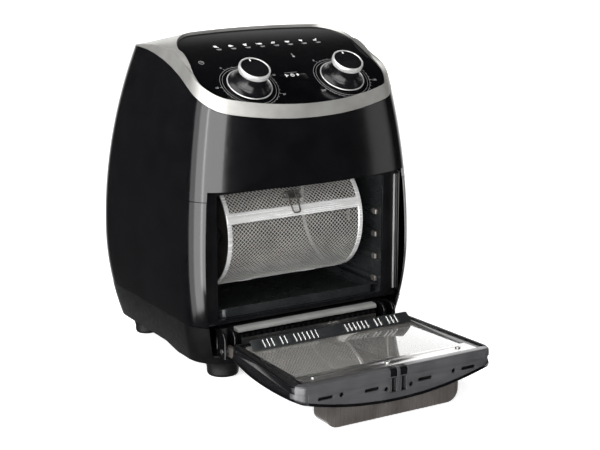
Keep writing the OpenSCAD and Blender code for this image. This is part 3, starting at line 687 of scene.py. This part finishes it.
def perforated(length, span, pitch=5.3):
    """A flat sheet with rows of square holes standing on their corners, with thin strips between."""
    nx, ny = int((length - 5) / pitch), int((span - 5) / (pitch / 2))
    ny -= ny % 2
    x0, y0 = -nx * pitch / 2, (span - ny * pitch / 2) / 2
    half, points, faces, index = pitch / 2, [], [], {}

    def at(x, y):
        key = (round(x, 3), round(y, 3))
        if key not in index:
            index[key] = len(points)
            points.append((x, y, 0))
        return index[key]

    for j in range(ny - 1):
        odd = j % 2
        for i in range(nx if odd else nx - 1):
            cx = x0 + (i + (0.5 if odd else 1)) * pitch
            cy = y0 + (j + 1) * half
            outer = [(cx + half, cy), (cx, cy + half), (cx - half, cy), (cx, cy - half)]
            ring = [at(*p) for p in outer]
            inner = []
            for k in range(8):
                a = radians(45 * k)
                reach = half * (0.79 if k % 2 == 0 else 0.58)
                inner.append(at(cx + reach * cos(a), cy + reach * sin(a)))
            for k in range(4):
                n = (k + 1) % 4
                faces.append((ring[k], inner[2 * k], inner[2 * k + 1]))
                faces.append((ring[k], inner[2 * k + 1], ring[n]))
                faces.append((ring[n], inner[2 * k + 1], inner[(2 * k + 2) % 8]))
    return points, faces


def mesh_sheet(name, body, node, a0, a1, length):
    """A perforated half of the basket between two angles, with plain borders."""
    span = radians(a1 - a0) * BASKET_R
    points, faces = perforated(length, span)
    holes = mesh_piece(name, points, faces, body, MESH, [node], where=wrap(BASKET_R - 0.1, a0), thick=0.5,
                       sharp=50)
    # Painted shade: the sheet's inner side gets the near-black steel, standing for the shade inside the
    # basket.
    holes.data.materials.append(SHADE_STEEL)
    holes.modifiers["thickness"].material_offset = 1
    n = max(8, int((a1 - a0) / 4))
    borders = []
    for x0, x1 in ((-length / 2, -length / 2 + 5), (length / 2 - 5, length / 2)):
        loops = [[(x0, span * i / n, 0), (x1, span * i / n, 0), (x1, span * i / n, -0.6),
                  (x0, span * i / n, -0.6)] for i in range(n + 1)]
        borders.append(loft(loops))
    for y0, y1 in ((0, 5), (span - 5, span)):
        loops = [[(x, y0, 0), (x, y1, 0), (x, y1, -0.6), (x, y0, -0.6)] for x in (-length / 2, length / 2)]
        borders.append(loft(loops))
    mesh_piece(name + "_border", *join(*borders), body, RAIL, where=wrap(BASKET_R, a0), slot="mesh_steel",
               bevel=0.15)


def rail(angle, z0, z1, length, lift=1.2):
    """A folded flange along the basket: a strip with a rolled edge, at an angle round it."""
    a = radians(angle)

    def where(p):
        y, z = BASKET_R + p[1], p[2]
        return basket_place((p[0], y * cos(a) - z * sin(a), y * sin(a) + z * cos(a)))

    section = [(0.05, z0), (lift * 0.6, z0 + 0.1), (lift, z0 + 0.9), (lift * 0.8, (z0 + z1) / 2),
               (lift, z1 - 0.9), (lift * 0.6, z1 - 0.1), (0.05, z1)]
    loops = [[(x, y, z) for y, z in section] for x in (-length / 2, length / 2)]
    return loft(loops), where


def basket():
    mesh_sheet("basket_mesh", "basket", "basket_drum", LID_A1 + 1.5, LID_A0 + 360 - 1.5, BASKET_L - 2)
    mesh_sheet("lid_mesh", "basket_lid", "basket_lid", LID_A0 + 1.5, LID_A1 - 1.5, BASKET_L - 2.8)
    length = BASKET_L - 2.2
    part, where = rail(LID_A0 - 5.2, 0.2, 8.4, length)
    mesh_piece("seam_rail_upper", *part, "basket", RAIL, ["basket_rails"], where=where, bevel=0.2)
    part, where = rail(LID_A1 + 5.0, -5.4, -0.4, length)
    mesh_piece("seam_rail_lower", *part, "basket", RAIL, where=where, slot="rail_steel", bevel=0.2)
    part, where = rail(LID_A0 + 5.2, -8.4, -0.2, length)
    mesh_piece("lid_rail_upper", *part, "basket_lid", RAIL, ["lid_rails"], where=where, bevel=0.2)
    for i, x in enumerate((-46.5, 47.5)):
        part, where = rail(LID_A1 - 1.2, -5, -0.6, 15, 1.5)
        tab = moved(part, lambda p, x=x: (p[0] + x, p[1], p[2]))
        mesh_piece(f"lid_hinge_tab_{i + 1}", *tab, "basket_lid", RAIL, where=where, slot="rail_steel",
                   bevel=0.2)
        a = radians(LID_A1)
        knuckle = [(x + s, (BASKET_R + 1) * cos(a), (BASKET_R + 1) * sin(a))
                   for s in (-7.5, -7.1, 7.1, 7.5)]
        mesh_piece(f"lid_hinge_knuckle_{i + 1}", *tube(knuckle, 0.78, 12), "basket_lid", RAIL,
                   where=basket_place, slot="rail_steel", bevel=0.1)
    for side, name in SIDES:
        end_cap(side, name)
    latch()


def end_cap(side, name):
    """A pressed end with a rolled rim, a spoked star of windows and a hub."""
    r = BASKET_R + 0.6
    windows = [[(9 * cos(t) + 42 * cos(a), 9 * sin(t) + 42 * sin(a))
                for t in around(28)]
               for a in around(6)]
    disc = plate_mesh([circle(0, 0, r - 0.3, 128), circle(0, 0, 3.9, 24)] + windows, 0.9, 0.2)
    x = side * BASKET_L / 2

    def where(p):
        return basket_place((x - side * p[2], p[0], p[1]))

    # The end caps are painted near black, as painted shade inside the basket.
    mesh_piece(f"basket_cap_{name}", *disc, "basket", SHADE_STEEL, ["basket_end_caps"], where=where,
               sharp=40)
    rim = [(r - 2.0, 0), (r - 0.5, 0), (r - 0.05, 0.35), (r, 1.0), (r, 5.4), (r - 0.25, 5.7), (r - 0.5, 5.4),
           (r - 0.5, 1.0), (r - 2.0, 0.7)]
    mesh_piece(f"basket_rim_{name}", *lathe(rim, 128), "basket", RAIL, where=where, slot="rail_steel",
               bevel=0.1)
    hub = [(4, 0.2), (12, 0.2), (12.8, -0.5), (12, -1.1), (7, -1.6), (4, -1.6)]
    mesh_piece(f"basket_hub_{name}", *lathe(hub, 64), "basket", ZINC, where=where, slot="zinc_steel",
               bevel=0.15)


def latch():
    """The wire latch: a saddle plate on the basket with a bent wire loop over the lid's flange."""
    a = radians(LID_A0 - 14)

    def where(p):
        y, z = BASKET_R + 0.3 + p[1], p[2]
        return basket_place((p[0] - 7, y * cos(a) - z * sin(a), y * sin(a) + z * cos(a)))

    holes = [round_rect(-4.6, -4.6, -1.4, 0.6, 1.4), round_rect(15.4, -4.6, 18.6, 0.6, 1.4)]
    plate = moved(plate_mesh([round_rect(-6, -7, 20, 3, 2.2)] + holes, 0.7, 0.15),
                  lambda p: (p[0], p[2], p[1]))
    mesh_piece("latch_saddle", *plate, "basket_latch", ZINC, ["basket_latch"], where=where, sharp=40)
    lift = 1.75
    loop = [(0.9, lift - 0.3, -5), (0.9, lift, -2), (0.9, lift, 6), (1.0, lift, 14), (1.4, lift, 19.4),
            (2.6, lift, 21.4), (6.5, lift, 22), (10.4, lift, 21.4), (11.6, lift, 19.4), (12.0, lift, 14),
            (12.1, lift, 6), (12.1, lift, -2), (12.1, lift - 0.3, -5)]
    mesh_piece("latch_wire", *tube(loop, 1.0, 10), "basket_latch", SMOKED, where=where, slot="zinc_steel",
               sharp=60)
    pivot = tube([(-5.5, 0.8, -6.3), (19.5, 0.8, -6.3)], 0.68, 10)
    mesh_piece("latch_pivot", *pivot, "basket_latch", ZINC, where=where, slot="zinc_steel", sharp=40)


# ---------------------------------------------------------------- cavity and sill
def cavity():
    """Folded liner: floor, walls with pressed runners, roof and back, each with softened corners."""
    w, s = CAVITY_W / 2, 1.0
    y0, y1, z0, z1 = CAVITY_Y0, CAVITY_Y1, CAVITY_Z, CAVITY_TOP
    r = 5

    def section(grow):
        return round_rect(-w - grow, z0 - grow, w + grow, z1 + grow, r + grow, 6)

    inner, outer = section(0), section(s)
    ys = [y0, y0 + 40, y0 + 100, y0 + 160, y1 - 4]
    loops = [[(x, y, z) for x, z in outer] for y in ys + [y1 + s]]
    loops += [[(x, y, z) for x, z in inner] for y in [y1] + ys[::-1]]
    points, faces = loft(loops, True)
    n = len(inner)
    faces = [f for f in faces if not (min(f) >= 5 * n and max(f) < 7 * n)]
    mesh_piece("cavity_shell", points, faces, "oven", CAVITY, ["cavity_liner"], sharp=40)
    mesh_piece("cavity_back", *box(-w, y1, z0, w, y1 + s, z1), "oven", CAVITY, slot="cavity_steel",
               bevel=0.3)
    whole = [(y0 + 8, y1 - 16)]
    parted = [(y0 + 8, BASKET_Y - 15), (BASKET_Y + 15, y1 - 16)]
    for side, name in SIDES:
        for i, z in enumerate(RUNNER_ZS):
            for j, (a, b) in enumerate(whole if i < 2 else parted):
                bead = []
                for y, reach in ((a, 1.2), (a + 3, 4.0), (b - 3, 4.0), (b, 1.2)):
                    bead.append([(side * (w - 0.5) - side * reach * cos(t), y, z + reach * 1.05 * sin(t))
                                 for t in [radians(-90 + 180 * q / 10) for q in range(11)]])
                mesh_piece(f"runner_{name}_{i + 1}_{j + 1}", *loft(bead), "oven", CAVITY,
                           slot="cavity_steel", bevel=0.4)
        ends = [box(side * (w - 4.8), y0 + 7, z - 4, side * (w - 0.4), y0 + 17, z + 4)
                for z in RUNNER_ZS]
        mesh_piece(f"runner_ends_{name}", *join(*ends), "oven", SMOKED, slot="cavity_steel", bevel=2.1,
                   segments=4)
    louvres()


def louvres():
    """Pressed vents in the back of the cavity."""
    for i in range(7):
        x = -54 + 18 * i
        bead = [[(x + 6.5 * cos(t), CAVITY_Y1 - h, 200 + 22 * (1 if sin(t) > 0 else -1)
                  + 6.5 * sin(t)) for t in around(24)]
                for h in (0, 1.4)]
        mesh_piece(f"back_louvre_{i + 1}", *loft(bead), "oven", CAVITY, slot="cavity_steel", bevel=0.8)


def front_frame():
    """The flat frame round the mouth and the two upright returns beside it."""
    hole = round_rect(-118.5, 78, 118.5, 233, 4)
    plate = moved(plate_mesh([round_rect(-139, 72.5, 139, 240.5, 1.5), hole], 2.8, 0.4),
                  lambda p: (p[0], -122.1 - p[2], p[1]))
    mesh_piece("mouth_frame", *plate, "oven", KNOB, ["cavity_frame"], sharp=40)
    for side, name in SIDES:
        edge = box(side * 138 - 1, -133, 80, side * 138 + 1, -124, 235)
        mesh_piece(f"mouth_return_{name}", *edge, "oven", GLOSS, slot="cavity_steel", bevel=0.7,
                   segments=3)
    bright = box(134.2, -126.2, 82, 136.6, -124.9, 232)
    mesh_piece("mouth_bright_edge", *bright, "oven", SILL, slot="sill_steel", bevel=0.3)


def sill():
    """The bright threshold, the ribbed grille under it and the two hinge housings."""
    section = [(-141, 65.2), (-140.6, 64.5), (-129.4, 64.5), (-129, 65), (-129, 69.4), (-129.6, 70),
               (-138.5, 70), (-140.2, 69.2), (-141, 67.5)]
    mesh_piece("threshold", *loft([[(x, y, z) for y, z in section] for x in (-100, 100)]), "oven", SILL,
               ["sill_strip"], bevel=0.2)
    lining = box(-118, -129.5, 62, 118, -121.5, 70)
    mesh_piece("threshold_lining", *lining, "oven", MATTE, slot="matte_black", bevel=0.4)
    back = box(-100, -139, 36, 100, -137, 62)
    ribs = [box(x - 1.5, -143, 36, x + 1.5, -138.5, 62) for x in range(-96, 97, 8)]
    mesh_piece("grille_ribs", *join(back, *ribs), "oven", MATTE, ["base_grille"], bevel=0.4)
    lip = box(-97, -144.6, 50, 97, -143.2, 58.5)
    mesh_piece("grille_lip", *lip, "oven", STEEL, slot="sill_steel", bevel=0.4)
    for side, name in SIDES:
        cheek = arc(-139, 59, 11, 90, 180, 8) + [(-150, 37), (-126, 37), (-126, 70)]
        cheeks = []
        for x in (106, 119.5):
            x0 = side * x + (-4 if side < 0 else 0)
            points, faces = loft([[(x1, y, z) for y, z in cheek] for x1 in (x0, x0 + 4)])
            cheeks.append((points, faces[-2:] + faces[:-2]))
        x0 = side * 114.75 - 8.75
        block = box(x0, -130, 37, x0 + 17.5, -126, 70)
        mesh_piece(f"hinge_housing_{name}", *join(*cheeks, block), "oven", GLOSS,
                   ["hinge_brackets"] if side < 0 else (), slot="gloss_black", bevel=0.9, segments=3)


# ---------------------------------------------------------------- door
def door_half(z):
    return DOOR_LOW_W + (DOOR_TOP_W - DOOR_LOW_W) * (z - DOOR_Z0) / (DOOR_Z1 - DOOR_Z0)


def corner_cut(z, z1, r):
    return r - sqrt(max(0, r * r - (z - z1 + r) ** 2)) if z > z1 - r else 0


def door_face(t, r):
    """The door seen from the front, moved in by t, with round corners."""
    w0, w1, z0, z1 = DOOR_LOW_W - t, DOOR_TOP_W - t, DOOR_Z0 + t, DOOR_Z1 - t
    small = 2.5
    return ([(-w0 + small, z0), (w0 - small, z0), (w0, z0 + small)]
            + arc(w1 - r, z1 - r, r, 0, 90, 8) + arc(-w1 + r, z1 - r, r, 90, 180, 8) + [(-w0, z0 + small)])


def upright(part, y):
    """Stands a flat plate up in the closed door, its back at y."""
    return moved(part, lambda p: (p[0], y + p[2], p[1]))


def door_shell():
    """The door's barrel skin, with its window cut out, and the outer pane in the window."""
    cols, r = 64, DOOR_R
    zs = [DOOR_Z0 + (DOOR_Z1 - r - DOOR_Z0) * j / 12 for j in range(13)]
    zs += [DOOR_Z1 - r + r * sin(radians(a)) for a in (20, 40, 60, 75, 90)]
    gap_z0, gap_z1, gap_w = 98, 190, 100

    def at(u, z, t):
        x = u * (door_half(z) - corner_cut(z, DOOR_Z1, r))
        return x, face_y(x, z, t), z

    loops = []
    for i in range(cols + 1):
        u = -1 + 2 * i / cols
        loops.append([at(u, z, 0) for z in zs] + [at(u, z, 2.8) for z in reversed(zs)])
    piece = door_piece("door_skin", loft(loops), GLOSS, ["door_outer_shell"], bevel=0.9, segments=3,
                       sharp=55)
    cutter = door_piece("door_window_cut", box(-gap_w, -190, gap_z0, gap_w, -130, gap_z1), GLOSS)
    cut = piece.modifiers.new("window", "BOOLEAN")
    cut.object, cut.solver = cutter, "EXACT"
    piece.modifiers.move(len(piece.modifiers) - 1, 0)
    bake_modifiers(piece)
    bpy.data.objects.remove(cutter)
    pane = []
    for i in range(33):
        x = -106 + 212 * i / 32
        zs = [92 + 104 * j / 8 for j in range(9)]
        pane.append([(x, face_y(x, z, 3.3), z) for z in zs]
                    + [(x, face_y(x, z, 6.1), z) for z in reversed(zs)])
    door_piece("door_outer_pane", loft(pane), TINT, ["door_outer_glass"], bevel=0.4)


def bake_modifiers(piece):
    """Applies a piece's modifiers, so that its mesh is what shows."""
    graph = bpy.context.evaluated_depsgraph_get()
    made = bpy.data.meshes.new_from_object(piece.evaluated_get(graph))
    piece.modifiers.clear()
    piece.data = made


def door_inside():
    """The inner frame, its seal, the inner pane, vent strip, steel strip and screws."""
    opening = round_rect(-GLASS_W - 2, GLASS_Z0 - 10, GLASS_W + 2, GLASS_Z1 + 6, 5)
    ring = plate_mesh([door_face(0.4, DOOR_R), opening], 7.8, 0.9)
    door_piece("door_frame_ring", upright(ring, DOOR_IN - 7.9), KNOB, ["door_inner_frame"], sharp=40)
    seal = plate_mesh([door_face(2.3, 14), door_face(6, 12)], 1.75, 0.75)
    door_piece("door_seal", upright(seal, DOOR_IN), RUBBER, ["door_gasket"], sharp=60)
    glass_edge = round_rect(-GLASS_W - 1.8, GLASS_Z0 - 9.8, GLASS_W + 1.8, GLASS_Z1 + 5.8, 4.8)
    door_piece("door_inner_pane", upright(plate_mesh([glass_edge], 3.9, 0.5), DOOR_IN - 4), GLASS,
               ["door_inner_glass"], sharp=40)
    strip = [(-118, 205), (118, 205), (119.5, 227), (-119.5, 227)]
    holes = [circle(x, 216, 3.4, 20) for x in (-100, 0, 100)]
    door_piece("door_steel_strip", upright(plate_mesh([strip] + holes, 0.9, 0.15), DOOR_IN + 0.1), STEEL,
               ["door_glass_strip"], sharp=40)
    for i, x in enumerate((-100, 0, 100)):
        screw(f"door_screw_{i + 1}", "door", lambda p, x=x: door_place((x + p[0], DOOR_IN + 0.9 + p[2],
                                                                       216 + p[1])),
              3.0, 1.4, ["door_screws"] if i == 0 else ())
    vent_strip()


def vent_strip():
    """A slotted air deflector that leans over the pane's hinge side, with a bright lip at each slot."""
    c, k = 0.612, 0.791

    def tilt(p):
        return p[0], DOOR_IN + 1 + c * p[1] - k * (1 - p[2]), 105 - k * p[1] - c * (1 - p[2])

    slots, bars = [], []
    for middle, count in ((-88, 3), (-67, 2), (-36, 6), (36, 6), (67, 2), (88, 3)):
        for i in range(count):
            x = middle + (i - (count - 1) / 2) * 6
            slots.append(round_rect(x - 1.3, 2.6, x + 1.3, 13.8, 1.2, 4))
            bars.append(box(x - 2.0, 2.6, 0.9, x - 1.2, 13.8, 1.9))
    plate = plate_mesh([round_rect(-112, 0, 112, 16, 1.5)] + slots, 0.95, 0.12)
    door_piece("door_deflector", moved(plate, tilt), CAVITY, ["door_vent_strip"], sharp=40)
    door_piece("door_deflector_lips", moved(join(*bars), tilt), RAIL, slot="cavity_steel", bevel=0.15)
    flange = [(0.1, 97), (0.1, 104.8), (0.9, 104.8), (1.1, 103.2), (1.1, 97)]
    door_piece("door_deflector_foot", loft([[(x, DOOR_IN + y, z) for y, z in flange] for x in (-112,
               112)]), SMOKED, slot="cavity_steel", bevel=0.15)


def screw(name, body, where, r, height, nodes=(), slot="zinc_steel"):
    """A pan head with a cross recess."""
    profile = [(r, 0), (r, height * 0.45), (r * 0.86, height * 0.8), (r * 0.6, height)]
    head = loft([[(x, y, z) for x, y in circle(0, 0, q)] for q, z in profile])
    slots = [box(-r * 0.55, -r * 0.1, height - 0.05, r * 0.55, r * 0.1, height + 0.03),
             box(-r * 0.1, -r * 0.55, height - 0.05, r * 0.1, r * 0.55, height + 0.03)]
    mesh_piece(name, *head, body, ZINC, nodes, where=where, slot=slot, bevel=0.12)
    mesh_piece(name + "_cross", *join(*slots), body, RUBBER, where=where, slot=slot)


def door_top_edge():
    """The crescent face along the door's top, with its slots, holes and two channels."""
    z = DOOR_Z1 - 3.6
    front = [(x, face_y(x, z, 3.5)) for x in [-120 + 4 * i for i in range(61)]]
    outline_xy = front + [(120, DOOR_IN - 7.2), (-120, DOOR_IN - 7.2)]
    loops = [outline_xy]
    loops += [round_rect(x - 10, -147, x + 10, -142.8, 2) for x in (-36.5, 36.5)]
    loops += [round_rect(x - 10, -144.9, x + 10, -140.9, 1.9) for x in (-98, 98)]
    loops += [circle(x, -148, 2.8, 20) for x in (-17, 17)]
    loops += [circle(x, -143, 2.8, 20) for x in (-77, 77)]
    loops += [round_rect(x, -153.5, x + 9, -136, 1) for x in (-11.5, 2.0)]
    face = moved(plate_mesh(loops, 3, 0.4), lambda p: (p[0], p[1], z + p[2]))
    door_piece("door_top_face", face, FRAME, slot="frame_grey", sharp=40)
    dark = [(x, y + 1.2) for x, y in front[1:-1]] + [(115, DOOR_IN - 8.5), (-115, DOOR_IN - 8.5)]
    door_piece("door_top_lining", moved(plate_mesh([dark], 1.2), lambda p: (p[0], p[1], z - 4 + p[2])),
               RUBBER, slot="frame_grey")
    for i, x in enumerate((-7, 6.5)):
        web = [box(x - 4.2, -153, z - 2.5, x - 3.4, -136.5, z + 3.4),
               box(x + 3.4, -153, z - 2.5, x + 4.2, -136.5, z + 3.4)]
        door_piece(f"door_channel_{i + 1}", join(*web), FRAME, slot="frame_grey", bevel=0.25)


def door_top_roll():
    """The rolled band between the steel strip and the top face, parted by the two channels."""
    section = [(13.3, 1.0), (11.5, 1.6), (8, 1.92), (4.5, 1.92), (2.6, 1.85), (1.2, 1.0), (0.45, -0.6),
               (0.12, -3), (0.12, -7.6), (1.8, -7.6), (2.4, -1), (13.3, 0.3)]
    r, w = DOOR_R, DOOR_TOP_W - DOOR_R

    def corner(side, a):
        c, s = cos(radians(a)), sin(radians(a))
        return [(side * (w + (r - d) * c), DOOR_IN + y, DOOR_Z1 - r + (r - d) * s) for d, y in section]

    def straight(x):
        return [(x, DOOR_IN + y, DOOR_Z1 - d) for d, y in section]

    spans = [[corner(-1, a) for a in range(30, 90, 6)] + [straight(x) for x in (-w, -80, -40, -12)],
             [straight(-2.6), straight(1.6)],
             [straight(x) for x in (11.4, 40, 80, w)] + [corner(1, a) for a in range(84, 29, -6)]]
    for i, loops in enumerate(spans):
        door_piece(f"door_top_roll_{i + 1}", loft(loops), FRAME, slot="frame_grey", bevel=0.3, sharp=60)


def handle_front(x, w=HANDLE_W / 2, r=15):
    c = w - r
    return HANDLE_Y if abs(x) <= c else HANDLE_Y + r - sqrt(max(0, r * r - (abs(x) - c) ** 2))


def door_handle():
    """The cup pull: a thin folded wall with round lower corners, open towards the hinge side."""
    w, t = HANDLE_W / 2, 3
    ends = [w - 3.8, w - 3.0, w - 2.2, w - 1.5, w - 0.9, w - 0.4, w - 0.1, w]
    inner = [i / 40 * (w - 4) for i in range(-40, 41)]
    xs = [-x for x in reversed(ends)] + inner + ends
    loops = []
    for x in xs:
        f = handle_front(x)
        roof = HANDLE_Z0 + 0.1 if abs(x) > w - 3.9 else HANDLE_Z1 - t
        loops.append([(x, face_y(x, HANDLE_Z1, -0.3), HANDLE_Z1), (x, f, HANDLE_Z1), (x, f, HANDLE_Z0),
                      (x, f + t, HANDLE_Z0), (x, f + t, roof), (x, face_y(x, roof, -0.3), roof)])
    door_piece("door_handle_pull", loft(loops), SMOKED, ["door_handle"], bevel=0.7, segments=3, sharp=50)


def door_sides():
    """The walls that close the door between its frame and its skin, round the top corners too."""
    for side, name in SIDES:
        for part, paint in (("side", KNOB), ("corner", FRAME)):
            loops = []
            for i in range(13):
                if part == "side":
                    z = DOOR_Z0 + 1 + (DOOR_Z1 - DOOR_R - DOOR_Z0 - 1) * i / 12
                    x = door_half(z) - 0.9
                    nx, nz = 1, 0
                else:
                    a = radians(90 * i / 12)
                    centre = door_half(DOOR_Z1) - 16.5
                    x, z = centre + 15.2 * cos(a), DOOR_Z1 - 16.5 + 15.2 * sin(a)
                    nx, nz = cos(a), sin(a)
                x2, z2 = x - 2 * nx, z - 2 * nz
                loops.append([(side * x, DOOR_IN - 7, z), (side * x, face_y(x, z, 2.4), z),
                              (side * x2, face_y(x2, z2, 2.4), z2), (side * x2, DOOR_IN - 7, z2)])
            door_piece(f"door_{part}_wall_{name}", loft(loops), paint, slot="frame_grey", bevel=0.3,
                       sharp=50)


def feet():
    """Rubber feet: wide pads under the front corners, smaller ones behind, each with its screw."""
    for i, (x, y, r) in enumerate(((-98, -96, 20), (98, -96, 20), (-107, 104, 15), (107, 104, 15))):
        profile = [(5.2, 5), (5.2, 0.6), (5.8, 0), (r - 2.6, 0), (r - 1.2, 0.5), (r - 0.4, 2), (r, 5), (r, 9),
                   (r + 1.5, 16), (r + 5, 24), (r + 9, 30), (r + 9, 32.8), (5.2, 32.8)]
        mesh_piece(f"foot_{i + 1}", *lathe(profile, 64), "oven", RUBBER, ["feet"] if i == 0 else (),
                   where=lambda p, x=x, y=y: place((x + p[0], y + p[1], p[2])), slot="foot_rubber",
                   bevel=0.3, sharp=40)
        screw(f"foot_screw_{i + 1}", "oven", lambda p, x=x, y=y: place((x + p[0], y + p[1], 6.6 - p[2])),
              3.6, 2.0, ["base_screws"] if i == 0 else ())


basket()
cavity()
front_frame()
sill()
door_shell()
door_inside()
door_top_edge()
door_top_roll()
door_sides()
door_handle()
feet()


def cad_finish():
    """Paints the CAD parts that show as they are."""
    paints = {"drip_tray": CAVITY, "fan_grille": CAVITY, "heating_element": SMOKED, "element_supports": ZINC,
              "fan_motor": ZINC, "drive_motor": ZINC, "idler_bracket": STEEL, "timer_unit": MATTE,
              "thermostat_unit": MATTE, "control_board": MATTE, "cavity_lamp": MATTE, "lamp_lens": GLASS,
              "heat_shield": STEEL, "cord_gland": RUBBER, "rear_vent_cover": MATTE, "hinge_arms": SMOKED,
              "hinge_pins": ZINC, "handle_screws": ZINC, "basket_spindles": ZINC, "drive_socket": ZINC,
              "fan_blades": ZINC, "fan_shaft": ZINC, "rear_screws": ZINC}
    for name, part in frame["nodes"].items():
        part.data.materials.clear()
        part.data.materials.append(paints.get(name, ZINC))


cad_finish()


# ---------------------------------------------------------------- stage, lights and camera
def studio():
    bpy.ops.mesh.primitive_circle_add(vertices=96, radius=60, fill_type="NGON", location=(0, 0, -0.0002))
    floor = bpy.context.object
    floor.name = "studio_floor"
    floor.visible_glossy = False
    paint = Nodes("floor_paint")
    paint.link(paint.ramp(paint.noise(0.8, 3), (0.88, 0.88, 0.88), (0.91, 0.91, 0.91)),
               paint.shader.inputs["Base Color"])
    paint.set(Roughness=0.8, Specular_IOR_Level=0.1, Emission_Color=(1, 1, 1), Emission_Strength=0.6)
    floor.data.materials.append(paint.material)

    world = bpy.data.worlds.new("studio_world")
    bpy.context.scene.world = world
    world.use_nodes = True
    tree = world.node_tree
    coords = tree.nodes.new("ShaderNodeTexCoord")
    axes = tree.nodes.new("ShaderNodeSeparateXYZ")
    tree.links.new(coords.outputs["Generated"], axes.inputs["Vector"])

    def fade(axis, *values):
        return map_range(tree, axes.outputs[axis], *values)

    def times(a, b):
        node = tree.nodes.new("ShaderNodeMath")
        node.operation = "MULTIPLY"
        tree.links.new(a, node.inputs[0])
        tree.links.new(b, node.inputs[1])
        return node.outputs["Value"]

    low_back = times(fade("Y", 0.15, 0.6, 0.015, 1.0), fade("Z", 0.45, 0.7, 1.0, 0.05))
    glow = times(low_back, fade("X", -0.2, 0.25, 0.05, 2.4))
    tree.links.new(glow, tree.nodes["Background"].inputs["Strength"])
    tree.nodes["Background"].inputs["Color"].default_value = (1, 1, 1, 1)


def stand(name, data, location, target):
    """Puts a light or the camera at a place, looking at a target."""
    holder = bpy.data.objects.new(name, data)
    bpy.context.scene.collection.objects.link(holder)
    holder.location = location
    holder.rotation_mode = "QUATERNION"
    holder.rotation_quaternion = (Vector(target) - holder.location).to_track_quat("-Z", "Y")
    return holder


def softbox(name, azimuth, height, distance, width, tall, power):
    """An area light; azimuth 0 stands in front and 90 on the left."""
    light = bpy.data.lights.new(name, "AREA")
    light.shape = "RECTANGLE"
    light.size, light.size_y, light.energy = width, tall, power
    a = radians(azimuth)
    stand(name, light, (-sin(a) * distance, -cos(a) * distance, height), (0, 0, 0.22))


def sun():
    light = bpy.data.lights.new("key_sun", "SUN")
    light.energy = 3.0
    light.angle = radians(50)
    stand("key_sun", light, (-1.2, -0.4, 2.6), (0, 0, 0))


def camera():
    made = bpy.data.cameras.new("camera")
    made.lens, made.sensor_width = 89.84, 36
    made.clip_start, made.clip_end = 0.05, 60
    where = (-0.92198, -1.56361, 0.63063)
    bpy.context.scene.camera = stand("camera", made, where, (0.0714, 0.08915, 0.1463))


studio()
sun()
softbox("front_softbox", 37, 0.25, 2.4, 2.7, 2.4, 168)
softbox("left_softbox", 75, 0.25, 1.7, 0.8, 2.4, 46)
softbox("side_softbox", 97, 0.25, 1.7, 0.5, 2.4, 12)
softbox("right_softbox", -59, 0.6, 1.9, 0.4, 1.3, 2)
camera()
bpy.context.scene.view_settings.view_transform = "Standard"
